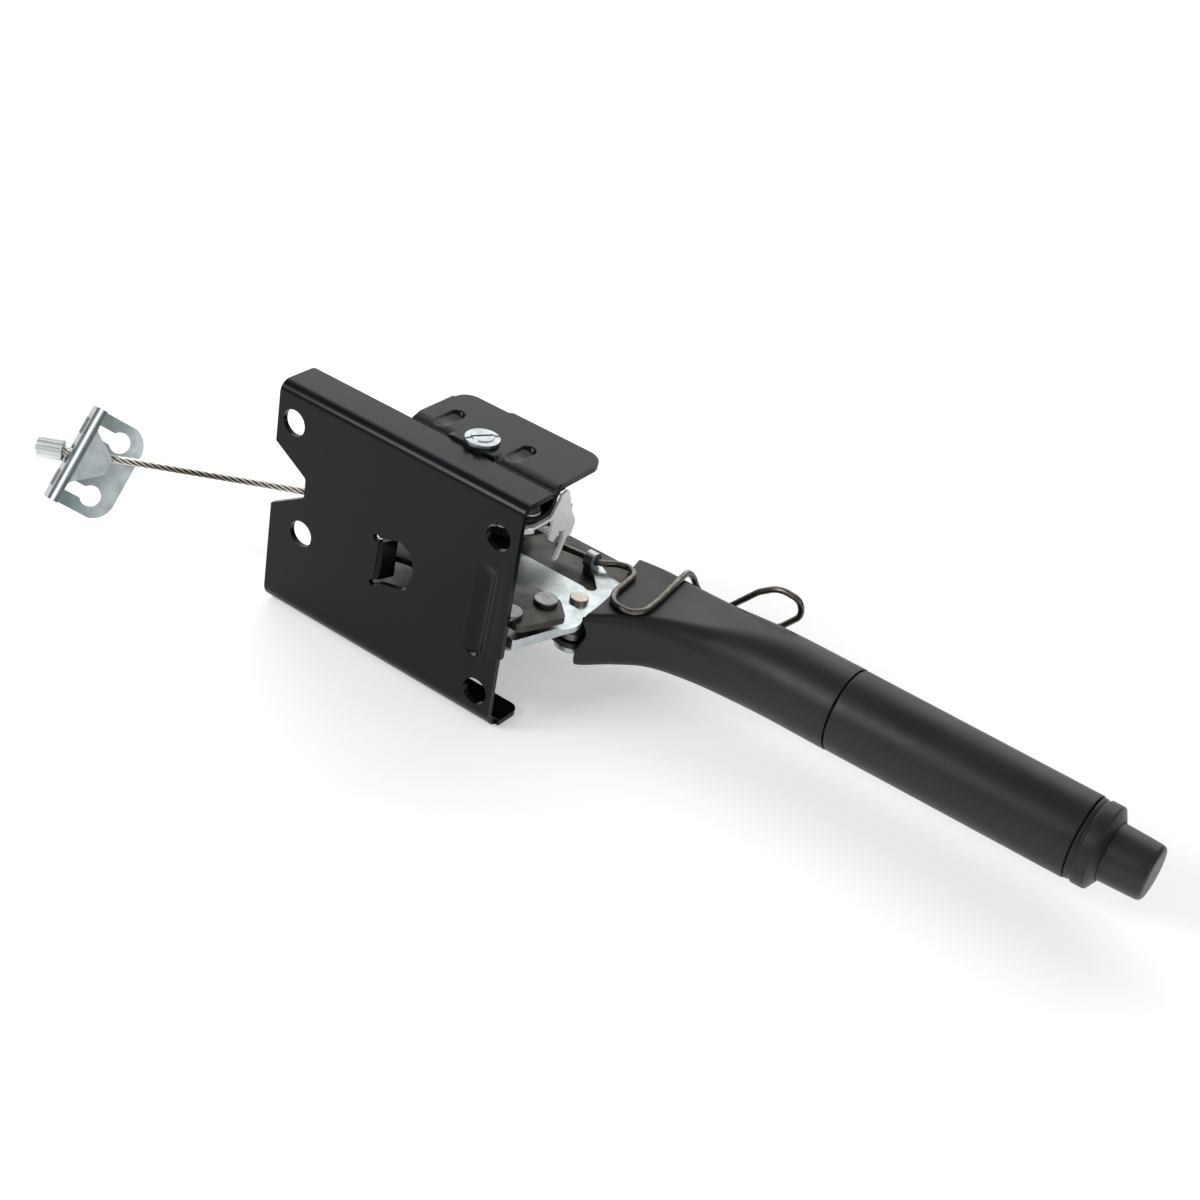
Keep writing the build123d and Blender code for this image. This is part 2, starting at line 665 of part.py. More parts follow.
def pawl_spring():
    """Torsion spring round the pawl's hub, drawn as its closed coils with both legs."""
    wire = 1.2
    reach = pawl_hub_d / 2 + 0.15 + wire / 2
    high = sector_z - 0.25 - wire / 2
    pitch = wire - 0.15
    coil = Sketch()
    for i in range(3):
        coil += Pos(reach, high - pitch * i) * Circle(wire / 2)
    spring = Pos(pawl_x, pawl_y) * revolve(Plane.XZ * coil, Axis.Z)
    low = high - 2 * pitch
    back = [(pawl_x - reach, pawl_y, low), (pawl_x - reach - 5, far_edge - channel_sheet - 1, low)]
    arm = [(pawl_x + reach, pawl_y, high), (pawl_x + reach - 2, pawl_y + 24, high)]
    for a, b in (back, arm):
        leg = Line(a, b)
        spring += sweep(Plane(leg @ 0, z_dir=leg % 0) * Circle(wire / 2), leg)
    return spring


def lever_tube():
    """Steel tube of the handle."""
    ring = Circle(tube_od / 2) - Circle(tube_od / 2 - tube_wall)
    return along(Pos(handle_y, handle_z) * ring, tube_start, tube_end - tube_start)


def boot_sections():
    """Sections of the moulded front grip: X, near Y, far Y, top, bottom and corner radius."""
    round_r = grip_d / 2
    near, far = handle_y - round_r, handle_y + round_r
    top, bottom = handle_z + round_r, handle_z - round_r
    return [
        (pawl_x - 6, near - 38.5, far - 7.8, boot_top, boot_bottom, 5.0),
        (pawl_x + 10, near - 28, far - 5.0, boot_top, boot_bottom, 5.0),
        (pawl_x + 20, near - 18, far - 4.0, boot_top, boot_bottom, 5.5),
        (pawl_x + 32, near - 9, far - 3.2, boot_top, boot_bottom - 0.2, 6.5),
        (seam_x - 65, near - 4.2, far - 2.0, boot_top + 1.6, boot_bottom - 2.2, 11.0),
        (seam_x - 47, near - 1.2, far - 0.8, boot_top + 4.4, boot_bottom - 5.0, 15.5),
        (seam_x - 29, near, far, top, bottom, round_r - seam_flat),
        (seam_x - 15, near, far, top, bottom, round_r - seam_flat),
        (seam_x, near, far, top, bottom, round_r - seam_flat)]


def boot_outer():
    """Outside of the front grip."""
    faces = []
    for x, near, far, top, bottom, corner in boot_sections():
        section = Plane.YZ * RectangleRounded(far - near, top - bottom, corner)
        faces.append(Pos(x, (near + far) / 2, (top + bottom) / 2) * section)
    return loft(faces)


def boot_hollow():
    """Room inside the front grip for the lever, with a thin roof over the lever plate."""
    faces = []
    for x, near, far, top, bottom, corner in boot_sections()[:-2]:
        share = min(1.0, max(0.0, (x - pawl_x - 32) / (seam_x - 61 - pawl_x)))
        side = boot_wall + 0.8 * share
        roof = boot_roof + (side - boot_roof) * share
        floor = boot_floor + (side - boot_floor) * share
        section = Plane.YZ * RectangleRounded(
            far - near - 2 * side, top - roof - bottom - floor, max(1.5, corner - side))
        faces.append(Pos(x, (near + far) / 2, (top - roof + bottom + floor) / 2) * section)
    return loft(faces)


def grip_front():
    """Moulded front grip: wide flat mouth over the lever plates, round at the seam."""
    bore = Pos(handle_y, handle_z) * Circle(tube_od / 2 + 0.1)
    part = boot_outer() - boot_hollow() - along(bore, tube_start - 1, seam_x - tube_start + 2)
    mouth = outline([
        (pawl_x - 20, 20, 0), (pawl_x + 7.6, 20, 0), (pawl_x + 9.8, 46, 4), (pawl_x + 9.4, 54, 10),
        (pawl_x + 7.6, 66.5, 14), (pawl_x + 3.4, 83, 14), (pawl_x - 1.1, 101.7, 0),
        (pawl_x - 2, 112, 0), (pawl_x - 20, 112, 0)])
    lip_top = boot_bottom + lip_h
    part -= slab(mouth, lip_top, 60)
    return part - slab(Pos(-lip_reach, 0) * mouth, lip_top - 30, 30)


def grip_rear():
    """Round rear grip, tapering slightly to the collar."""
    start = seam_x + seam_gap
    bore = tube_od / 2 + 0.1
    profile = make_face(Polyline(
        (start, bore), (collar_x - 0.2, bore), (collar_x - 0.2, grip_end_d / 2 - 0.6),
        (collar_x - 0.8, grip_end_d / 2), (start + 0.5, grip_d / 2), (start, grip_d / 2 - 0.5), close=True))
    return Pos(0, handle_y, handle_z) * revolve(profile, Axis.X)


def grip_collar():
    """End collar with a rounded groove, over the tube's end."""
    outer = grip_end_d / 2 - 0.7
    bore = button_d / 2 + 0.3
    shoulder = tube_end + 0.2
    profile = make_face(Polyline(
        (collar_x, tube_od / 2 + 0.1), (shoulder, tube_od / 2 + 0.1), (shoulder, bore), (collar_end, bore),
        (collar_end, outer - 3.4), (collar_end - 2.6, outer), (collar_x + 2.2, outer),
        (collar_x + 1.4, outer - 1.3), (collar_x, outer - 1.3), close=True))
    return Pos(0, handle_y, handle_z) * revolve(profile, Axis.X)


def push_button():
    """Release button, with a skirt that keeps it in the tube."""
    skirt = tube_od / 2 - tube_wall - 0.4
    front = button_d / 2
    start = tube_end - skirt_l
    shoulder = tube_end - 0.1
    profile = make_face(FilletPolyline(
        (start, 0), (start, skirt), (shoulder, skirt), (shoulder, front), (collar_end, front),
        (button_end, front - 0.9), (button_end, 0), radius=[0.5, 0.5, 0, 0, 2.6], close=False)
        + Line((button_end, 0), (start, 0)))
    button = Pos(0, handle_y, handle_z) * revolve(profile, Axis.X)
    socket = along(Pos(handle_y, handle_z) * Circle(rod_d / 2 + fit), start - 1, rod_seat + 1.5)
    return button - socket


def push_rod():
    """Rod from the button to the pawl's tail."""
    start = tail_x + rod_gap
    end = tube_end - skirt_l + rod_seat
    return along(Pos(handle_y, handle_z) * Circle(rod_d / 2), start, end - start)


def spring_seat():
    """Ring pressed into the tube, against which the button's spring pushes."""
    ring = Circle(tube_od / 2 - tube_wall - fit) - Circle(rod_d / 2 + 0.4)
    return along(Pos(handle_y, handle_z) * ring, seat_x, seat_t)


def button_spring():
    """Compression spring of the button, drawn as its closed coils."""
    start = seat_x + seat_t + 0.2
    length = tube_end - skirt_l - 0.2 - start
    middle = (spring_d - spring_wire) / 2
    pitch = (length - spring_wire) / (spring_turns - 1)
    profile = Pos(start + length / 2, middle) * Rectangle(length - spring_wire, 0.45 * spring_wire)
    for i in range(spring_turns):
        profile += Pos(start + spring_wire / 2 + pitch * i, middle) * Circle(spring_wire / 2)
    return Pos(0, handle_y, handle_z) * revolve(profile, Axis.X)


def lock_wire():
    """Bent wire clip: through the eye, over the front grip and round to a ring behind it."""
    z = wire_z
    points = [
        (89.5, 77.2, z), (101.0, 79.2, z), (111.6, 79.8, z), (116.0, 85.0, z), (121.6, 87.6, z),
        (126.8, 84.6, z), (128.0, 75.0, z), (128.9, 66.4, z), (131.6, 60.6, z), (137.2, 58.0, z),
        (143.0, 59.2, z), (146.2, 64.4, z), (145.4, 75.0, z), (143.2, 90.0, z), (140.6, 108.0, z),
        (146.0, 110.6, -59.0), (158.0, 110.8, -61.6), (173.7, 111.0, -43.5), (182.6, 111.6, -37.2),
        (193.2, 112.4, -38.6), (195.0, 113.2, -46), (185.6, 114.0, -57.4), (172.0, 113.4, -63.0)]
    radii = []
    for a, b, c in zip(points, points[1:], points[2:]):
        first = Vector(*b) - Vector(*a)
        second = Vector(*c) - Vector(*b)
        turn = radians(first.get_angle(second))
        radii.append(min(12.0, 0.45 * min(first.length, second.length) / tan(turn / 2)))
    print("lock wire radii", [round(radius, 1) for radius in radii])
    return round_bar(points, radii, wire_d)


def rope_place(distance):
    """Frame on the rope's axis, that far from the drum, looking back along the rope."""
    x = touch[0] - rope_dir[0] * distance
    y = touch[1] - rope_dir[1] * distance
    return Plane(origin=(x, y, rope_z), x_dir=(0, 0, 1), z_dir=(-rope_dir[0], -rope_dir[1], 0))


def brake_cable():
    """Straight wire rope from the drum to its crimped ferrule."""
    return extrude(rope_place(0.5) * Circle(rope_d / 2), amount=rope_length - 0.5)


def cable_ferrule():
    """Fluted ferrule, crimped on the rope behind the equaliser."""
    section = Circle(ferrule_d / 2) - Circle(rope_d / 2 + fit)
    for i in range(flutes):
        section -= Rot(0, 0, 360 * i / flutes) * Pos(ferrule_d / 2 + flute_d / 6, 0) * Circle(flute_d / 2)
    return extrude(rope_place(web_along + ferrule_gap) * section, amount=ferrule_l)


def equaliser_bracket():
    """Pressed U-bracket that spreads the pull: a keyholed leg, a web round the rope and a tongue."""
    half = web_w / 2
    middle = sheet / 2
    end = web_l / 2
    section = bent_sheet(
        [(leg_l, -half + middle), (0, -half + middle), (0, half - middle), (leg_l, half - middle)],
        [3.2, 3.2], sheet)
    body = extrude(Plane.XZ * section, amount=end, both=True)
    leg = outline([
        (-6, -end - 1, 0), (leg_l, -end - 0.25, leg_corner), (leg_l, end + 0.25, leg_corner),
        (-6, end + 1, 0)])
    tongue = outline([
        (3.0, -end - 2, 0), (3.0, -12, 2.5), (tongue_reach, -2.2, 3.5), (tongue_reach, 5.2, 3.5),
        (3.0, 12.8, 2.5), (3.0, end + 2, 0), (-6, end + 2, 0), (-6, -end - 2, 0)])
    body &= slab(leg, -half - 1, half + 1) + slab(tongue, 0, half + 1)
    for side in (-1, 1):
        w = side * key_spacing / 2
        key = Pos(key_in, w) * Circle(key_d / 2) + Pos(key_in - 5.5, w) * Rectangle(12, slot_w)
        body -= slab(key, -half - 1, sheet + 1.2)
        ridge = Pos(4.0 - middle, side * 12.5, 0) * Rot(90, 0, 0) * Cylinder(5.0, 7.5)
        body += ridge & Pos(-middle, side * 12.5, 0) * Box(sheet, 12, 12)
    body -= Rot(0, 90, 0) * Cylinder(rope_d, 4 * sheet)
    place = rope_place(web_along)
    return Plane(origin=place.origin, x_dir=equaliser_in, z_dir=equaliser_up) * body


def build():
    """Every piece by its name."""
    return {
        "mounting_plate": mounting_plate(),
        "top_bracket": top_bracket(),
        "bracket_screw": bracket_screw(),
        "bracket_nut": bracket_nut(),
        "switch_bracket": switch_bracket(),
        "shelf_screw": shelf_screw(),
        "shelf_washer": shelf_washer(),
        "shelf_nut": shelf_nut(),
        "bearing_plate_upper": bearing_plate_upper(),
        "bearing_plate_lower": bearing_plate_lower(),
        "toothed_sector": toothed_sector(),
        "pivot_bolt": pivot_bolt(),
        "pivot_nut": pivot_nut(),
        "pivot_washers": pivot_washers(),
        "pivot_bush": pivot_bush(),
        "thrust_washer": thrust_washer(),
        "spacer_upper": spacer_upper(),
        "spacer_lower": spacer_lower(),
        "lever_channel": lever_channel(),
        "lever_plate": lever_plate(),
        "reinforcing_plate": reinforcing_plate(),
        "drive_plate": drive_plate(),
        "drive_rivets": drive_rivets(),
        "cable_quadrant": cable_quadrant(),
        "cable_wrap": cable_wrap(),
        "cable_nipple": cable_nipple(),
        "pawl_pin": pawl_pin(),
        "pawl_pin_washer": pawl_pin_washer(),
        "pawl": pawl(),
        "pawl_spring": pawl_spring(),
        "lever_tube": lever_tube(),
        "grip_front": grip_front(),
        "grip_rear": grip_rear(),
        "grip_collar": grip_collar(),
        "push_button": push_button(),
        "push_rod": push_rod(),
        "spring_seat": spring_seat(),
        "button_spring": button_spring(),
        "lock_wire": lock_wire(),
        "brake_cable": brake_cable(),
        "cable_ferrule": cable_ferrule(),
        "equaliser_bracket": equaliser_bracket(),
    }


os.makedirs("parts", exist_ok=True)
for name, shape in build().items():
    export_step(shape, f"parts/{name}.step")
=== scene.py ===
from math import cos, pi, radians, sin

import bmesh
import bpy
from mathutils import Matrix, Vector


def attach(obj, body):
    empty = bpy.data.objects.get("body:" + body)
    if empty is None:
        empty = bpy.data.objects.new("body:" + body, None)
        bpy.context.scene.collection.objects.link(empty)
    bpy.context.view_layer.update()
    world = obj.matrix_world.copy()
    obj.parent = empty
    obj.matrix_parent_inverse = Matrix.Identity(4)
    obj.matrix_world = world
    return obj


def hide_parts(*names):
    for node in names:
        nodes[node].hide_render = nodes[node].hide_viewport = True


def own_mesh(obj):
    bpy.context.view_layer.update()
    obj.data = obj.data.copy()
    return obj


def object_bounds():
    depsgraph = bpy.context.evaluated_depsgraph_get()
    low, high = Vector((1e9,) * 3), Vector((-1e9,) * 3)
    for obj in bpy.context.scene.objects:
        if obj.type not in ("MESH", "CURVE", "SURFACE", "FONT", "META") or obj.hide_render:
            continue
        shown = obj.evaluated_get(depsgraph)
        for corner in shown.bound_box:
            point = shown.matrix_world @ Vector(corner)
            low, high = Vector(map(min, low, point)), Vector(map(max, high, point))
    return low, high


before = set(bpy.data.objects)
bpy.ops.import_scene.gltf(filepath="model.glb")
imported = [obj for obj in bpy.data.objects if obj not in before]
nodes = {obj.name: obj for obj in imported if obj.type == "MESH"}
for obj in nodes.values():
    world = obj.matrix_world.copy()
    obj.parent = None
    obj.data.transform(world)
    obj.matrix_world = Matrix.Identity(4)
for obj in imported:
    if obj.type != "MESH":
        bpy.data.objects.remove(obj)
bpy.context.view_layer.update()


# The camera stands where the photographer's stood: to the right of the mounting plate's outer face,
# a little above, with a long lens. Its place was worked out from the plate's holes and edges.
camera_place = Vector((0.48426, -0.55953, 0.41055))
camera_right = Vector((0.79832, 0.58055, 0.16012))
camera_back = Vector((0.42085, -0.72799, 0.54122))
camera_up = camera_back.cross(camera_right)
camera_data = bpy.data.cameras.new("studio_camera")
camera_data.sensor_width = 36.0
camera_data.lens = 60.0
camera_data.clip_end = 20.0
camera = bpy.data.objects.new("studio_camera", camera_data)
bpy.context.scene.collection.objects.link(camera)
camera.matrix_world = Matrix.Translation(camera_place) @ Matrix(
    (camera_right, camera_up, camera_back)).transposed().to_4x4()
bpy.context.scene.camera = camera


# The brake rope: six strands of bright steel wire laid round a core, pulled straight from the drum
# to the crimped ferrule. It was laid on a rope machine and leaves the drum on a tangent.
drum_radius = 0.028
rope_turn = radians(32.85)
rope_z = -0.032
rope_diameter = 0.0035
rope_reach = 0.1974
web_reach = 0.1816
rope_lay = -0.0200
rope_strands = 6
strand_share = 6.1
strand_wires = 6
wire_ripple, wire_twist = 0.07, 2.6
strand_sides, rope_step = 14, 0.0006
pivot = Vector((0.060, 0.0724, rope_z))
rope_away = Vector((-cos(rope_turn), -sin(rope_turn), 0.0))
rope_exit = pivot + drum_radius * Vector((sin(rope_turn), -cos(rope_turn), 0.0))
rope_route = [
    rope_exit,
    Vector((0.0400, 0.0261, rope_z)),
    Vector((0.0010, 0.0013, rope_z)),
    Vector((-0.0400, -0.0248, rope_z)),
    rope_exit + rope_away * web_reach,
    rope_exit + rope_away * rope_reach]


def centreline(name, points):
    """Points along the smooth curve that a route gives."""
    curve = bpy.data.curves.new(name, "CURVE")
    curve.dimensions = "3D"
    curve.resolution_u = 48
    spline = curve.splines.new("NURBS")
    spline.points.add(len(points) - 1)
    for spot, point in zip(spline.points, points):
        spot.co = (*point, 1.0)
    spline.order_u = 3
    spline.use_endpoint_u = True
    holder = bpy.data.objects.new(name, curve)
    bpy.context.scene.collection.objects.link(holder)
    bpy.context.view_layer.update()
    mesh = bpy.data.meshes.new_from_object(holder)
    line = [vertex.co.copy() for vertex in mesh.vertices]
    bpy.data.objects.remove(holder)
    bpy.data.meshes.remove(mesh)
    return line


def even_line(line, step):
    """The same line with its points a set step apart."""
    total = sum((b - a).length for a, b in zip(line, line[1:]))
    count = max(2, round(total / step))
    spots, travelled, index = [line[0].copy()], 0.0, 0
    for k in range(1, count):
        goal = total * k / count
        while travelled + (line[index + 1] - line[index]).length < goal:
            travelled += (line[index + 1] - line[index]).length
            index += 1
        run = line[index + 1] - line[index]
        spots.append(line[index] + run * ((goal - travelled) / run.length))
    spots.append(line[-1].copy())
    return spots


def closed_tube(work, rings):
    """Skin over rings of corners, capped at both ends."""
    sides = len(rings[0])
    work.faces.new(list(reversed(rings[0])))
    for before, after in zip(rings, rings[1:]):
        for k in range(sides):
            work.faces.new((before[k], after[k], after[(k + 1) % sides], before[(k + 1) % sides]))
    work.faces.new(rings[-1])


def made_piece(name, work):
    """Object with smooth faces from mesh data that is ready."""
    mesh = bpy.data.meshes.new(name)
    work.to_mesh(mesh)
    work.free()
    for face in mesh.polygons:
        face.use_smooth = True
    piece = bpy.data.objects.new(name, mesh)
    bpy.context.scene.collection.objects.link(piece)
    return piece


def laid_rope(name, line):
    """Rope of twisted strands round a core, along a line."""
    strand_radius = rope_diameter / strand_share
    helix_radius = rope_diameter / 2 - strand_radius
    work = bmesh.new()
    for strand in range(rope_strands + 1):
        travelled, rings = 0.0, []
        reach = 0.0 if strand == rope_strands else helix_radius
        for i, spot in enumerate(line):
            ahead = (line[min(i + 1, len(line) - 1)] - line[max(i - 1, 0)]).normalized()
            side = ahead.cross(Vector((0.0, 0.0, 1.0))).normalized()
            over = side.cross(ahead)
            travelled += (spot - line[max(i - 1, 0)]).length
            turn = 2 * pi * (strand / rope_strands + travelled / rope_lay)
            middle = spot + reach * (cos(turn) * side + sin(turn) * over)
            ring = []
            for k in range(strand_sides):
                around = 2 * pi * k / strand_sides
                wave = cos(strand_wires * (around + wire_twist * turn))
                bulge = strand_radius * (1.0 + wire_ripple * wave)
                ring.append(work.verts.new(middle + bulge * (cos(around) * side + sin(around) * over)))
            rings.append(ring)
        closed_tube(work, rings)
    return made_piece(name, work)


def effect_group(name, inputs, outputs):
    """Empty shader group with named number inputs and outputs."""
    group = bpy.data.node_groups.new(name, "ShaderNodeTree")
    for title, value in inputs:
        socket = group.interface.new_socket(title, in_out="INPUT", socket_type="NodeSocketFloat")
        socket.default_value = value
    for title, kind in outputs:
        group.interface.new_socket(title, in_out="OUTPUT", socket_type=kind)
    return group, group.nodes.new("NodeGroupInput"), group.nodes.new("NodeGroupOutput")


def noise(tree, scale, detail, rough):
    """Noise in the object's own metres, its scale given by a socket."""
    place = tree.nodes.new("ShaderNodeTexCoord")
    texture = tree.nodes.new("ShaderNodeTexNoise")
    texture.inputs["Detail"].default_value = detail
    texture.inputs["Roughness"].default_value = rough
    tree.links.new(place.outputs["Object"], texture.inputs["Vector"])
    tree.links.new(scale, texture.inputs["Scale"])
    return texture.outputs["Fac"]


def band(tree, value, low, high, out_low=0.0, out_high=1.0):
    """Value moved from one range to another, held at its ends."""
    node = tree.nodes.new("ShaderNodeMapRange")
    tree.links.new(value, node.inputs["Value"])
    titles = ("From Min", "From Max", "To Min", "To Max")
    for title, number in zip(titles, (low, high, out_low, out_high)):
        node.inputs[title].default_value = number
    return node.outputs["Result"]


def cloud_group():
    """Soft cloudy mask, for plating haze and stains."""
    group, given, result = effect_group(
        "cloudy_haze", [("Size", 120.0)], [("Haze", "NodeSocketFloat")])
    clouds = noise(group, given.outputs["Size"], detail=5.0, rough=0.6)
    group.links.new(band(group, clouds, low=0.35, high=0.65), result.inputs["Haze"])
    return group


def grain_group():
    """Fine uneven height for cast, moulded or sprayed skins."""
    group, given, result = effect_group(
        "skin_grain", [("Size", 1500.0), ("Swell Size", 160.0)], [("Height", "NodeSocketFloat")])
    fine = noise(group, given.outputs["Size"], detail=3.0, rough=0.55)
    swell = noise(group, given.outputs["Swell Size"], detail=2.0, rough=0.5)
    swell_height = 1.6
    mix = group.nodes.new("ShaderNodeMath")
    mix.operation = "MULTIPLY_ADD"
    group.links.new(swell, mix.inputs[0])
    mix.inputs[1].default_value = swell_height
    group.links.new(fine, mix.inputs[2])
    group.links.new(mix.outputs["Value"], result.inputs["Height"])
    return group


haze = cloud_group()
grain = grain_group()


def finish_material(name, colour, other, rough, rough_other, metallic=0.0, specular=0.5,
                    haze_size=120.0, grain_size=1500.0, swell_size=160.0, bump=0.1, depth=0.00002):
    """Skin whose colour and roughness wander between two values, with a fine bump."""
    material = bpy.data.materials.new(name)
    material.use_nodes = True
    tree = material.node_tree
    skin = tree.nodes["Principled BSDF"]
    skin.inputs["Metallic"].default_value = metallic
    skin.inputs["Specular IOR Level"].default_value = specular
    clouds = tree.nodes.new("ShaderNodeGroup")
    clouds.node_tree = haze
    clouds.inputs["Size"].default_value = haze_size
    mix = tree.nodes.new("ShaderNodeMix")
    mix.data_type = "RGBA"
    mix.inputs["A"].default_value = (*colour, 1.0)
    mix.inputs["B"].default_value = (*other, 1.0)
    tree.links.new(clouds.outputs["Haze"], mix.inputs["Factor"])
    tree.links.new(mix.outputs["Result"], skin.inputs["Base Color"])
    tree.links.new(band(tree, clouds.outputs["Haze"], 0.0, 1.0, rough, rough_other),
                   skin.inputs["Roughness"])
    surface = tree.nodes.new("ShaderNodeGroup")
    surface.node_tree = grain
    surface.inputs["Size"].default_value = grain_size
    surface.inputs["Swell Size"].default_value = swell_size
    bumps = tree.nodes.new("ShaderNodeBump")
    bumps.inputs["Strength"].default_value = bump
    bumps.inputs["Distance"].default_value = depth
    tree.links.new(surface.outputs["Height"], bumps.inputs["Height"])
    tree.links.new(bumps.outputs["Normal"], skin.inputs["Normal"])
    return material


def wear(piece, material):
    """Gives a piece one material in all its slots."""
    piece.data.materials.clear()
    piece.data.materials.append(material)


def vector_step(tree, operation, first, second=None):
    """One step of vector arithmetic; the second value may be fixed."""
    node = tree.nodes.new("ShaderNodeVectorMath")
    node.operation = operation
    tree.links.new(first, node.inputs[0])
    if second is not None:
        node.inputs[1].default_value = second
    return node.outputs["Value" if operation in ("DOT_PRODUCT", "LENGTH") else "Vector"]


def tinted(material, mask, colour):
    """Lays a second colour over a material's own where the mask says."""
    tree = material.node_tree
    base = tree.nodes["Principled BSDF"].inputs["Base Color"]
    mix = tree.nodes.new("ShaderNodeMix")
    mix.data_type = "RGBA"
    tree.links.new(base.links[0].from_socket, mix.inputs["A"])
    mix.inputs["B"].default_value = (*colour, 1.0)
    tree.links.new(mask, mix.inputs["Factor"])
    tree.links.new(mix.outputs["Result"], base)


# Painted shade: the lay between the strands' bright backs is darkened by its nearness to the rope's
# axis, standing in for the shade in the grooves between the strands.
rope_steel = finish_material(
    "rope_steel", (0.88, 0.86, 0.80), (0.68, 0.65, 0.58), 0.28, 0.42, metallic=0.8, haze_size=620.0,
    bump=0.25)
dark_below, bright_above = 0.00118, 0.00148
lay_painted_shade = (0.060, 0.050, 0.038)
rope_tree = rope_steel.node_tree
rope_spot = rope_tree.nodes.new("ShaderNodeTexCoord").outputs["Object"]
off_axis = vector_step(rope_tree, "LENGTH", vector_step(
    rope_tree, "CROSS_PRODUCT", vector_step(rope_tree, "SUBTRACT", rope_spot, rope_exit), rope_away))
# Painted shade deep in the lay, close to the rope's axis.
tinted(rope_steel, band(rope_tree, off_axis, dark_below, bright_above, 1.0, 0.0), lay_painted_shade)
rope_line = even_line(centreline("rope_route", rope_route), rope_step)
brake_rope = laid_rope("brake_rope", rope_line)
wear(brake_rope, rope_steel)
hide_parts("brake_cable")
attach(brake_rope, "cable")


# The rope's own end: the same rope, bent a fifth of a turn round in the drum's groove up to its
# barrel. It turns with the lever.
wrap_start = rope_turn - pi / 2 + radians(0.6)
wrap_turn, wrap_steps = radians(68.0), 60
wrap_line = [
    pivot + drum_radius * Vector((cos(wrap_start + a), sin(wrap_start + a), 0.0))
    for a in [wrap_turn * i / wrap_steps for i in range(wrap_steps + 1)]]
rope_end = laid_rope("rope_end_in_drum", wrap_line)
wear(rope_end, rope_steel)
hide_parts("cable_wrap")
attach(rope_end, "lever")


# Bright zinc-plated pieces: the hooked lever plate and its doubler, pressed from sheet, and the turned
# or headed screws, bolt, nuts, washers and the rope's barrel.
def soften(piece, width, angle=35.0, segments=2):
    """Breaks the sharp edges of a piece so that they catch the light."""
    same_corner = 0.00001
    weld = piece.modifiers.new("weld", "WELD")
    weld.merge_threshold = same_corner
    edge = piece.modifiers.new("edge", "BEVEL")
    edge.width = width
    edge.segments = segments
    edge.limit_method = "ANGLE"
    edge.angle_limit = radians(angle)
    edge.harden_normals = True
    even = piece.modifiers.new("even", "WEIGHTED_NORMAL")
    even.weight = 100
    for face in piece.data.polygons:
        face.use_smooth = True


zinc = finish_material(
    "bright_zinc", (0.50, 0.545, 0.565), (0.40, 0.435, 0.43), 0.27, 0.40, metallic=1.0,
    haze_size=170.0, grain_size=2400.0, bump=0.12)
zinc_edges = {
    "lever_plate": 0.0003, "reinforcing_plate": 0.0003, "bracket_screw": 0.0003, "bracket_nut": 0.0004,
    "shelf_washer": 0.00015, "shelf_nut": 0.0003, "pawl_pin_washer": 0.0003, "pivot_bolt": 0.0004,
    "pivot_nut": 0.0004, "pivot_washers": 0.0002, "thrust_washer": 0.0001, "cable_nipple": 0.0003}
for name, width in zinc_edges.items():
    soften(nodes[name], width)
    wear(nodes[name], zinc)


# The equaliser: pressed from sheet, with a keyholed leg and a rounded tongue on either side of its web,
# and zinc plated. It is brightest on the leg and the tongue; painted shade makes it duller on the web
# and its bend, darkest in the fold to the tongue, and darker and greenish in the leg's hollow under the
# tongue; these tones lie at fixed places on the piece.
equaliser_zinc_and_shade = finish_material(
    "equaliser_zinc_and_shade", (0.65, 0.71, 0.74), (0.50, 0.555, 0.575), 0.30, 0.42, metallic=1.0,
    haze_size=170.0, grain_size=2400.0, swell_size=320.0, bump=0.22)
web_painted_shade = (0.36, 0.395, 0.41)
fold_painted_shade = (0.22, 0.243, 0.25)
hollow_green_painted_shade = (0.17, 0.235, 0.22)
web_middle = rope_exit + rope_away * web_reach
bracket_in = Vector((0.67188524, 0.57938727, -0.46138987))
bracket_up = Vector((0.74025533, -0.50483834, 0.44402736))
eq_tree = equaliser_zinc_and_shade.node_tree
eq_spot = vector_step(
    eq_tree, "SUBTRACT", eq_tree.nodes.new("ShaderNodeTexCoord").outputs["Object"], web_middle)
inward = vector_step(eq_tree, "DOT_PRODUCT", eq_spot, bracket_in)
upward = vector_step(eq_tree, "DOT_PRODUCT", eq_spot, bracket_up)


def both(tree, first, second):
    """Product of two masks."""
    node = tree.nodes.new("ShaderNodeMath")
    node.operation = "MULTIPLY"
    tree.links.new(first, node.inputs[0])
    tree.links.new(second, node.inputs[1])
    return node.outputs["Value"]


# Painted shade on the web and its bend.
on_web = band(eq_tree, inward, low=0.0018, high=0.0034, out_low=0.9, out_high=0.0)
tinted(equaliser_zinc_and_shade, on_web, web_painted_shade)
# Painted shade, darkest, in the fold to the tongue.
near_fold = band(eq_tree, inward, low=0.0026, high=0.0036, out_low=0.9, out_high=0.0)
at_tongue = band(eq_tree, upward, low=0.0062, high=0.0074)
tinted(equaliser_zinc_and_shade, both(eq_tree, near_fold, at_tongue), fold_painted_shade)
# Painted shade, greenish, in the leg's hollow under the tongue.
in_hollow = band(eq_tree, inward, low=0.009, high=0.0235, out_low=0.85, out_high=0.0)
on_leg = band(eq_tree, upward, low=-0.0076, high=-0.0066, out_low=1.0, out_high=0.0)
tinted(equaliser_zinc_and_shade, both(eq_tree, in_hollow, on_leg), hollow_green_painted_shade)
soften(nodes["equaliser_bracket"], 0.0005)
wear(nodes["equaliser_bracket"], equaliser_zinc_and_shade)
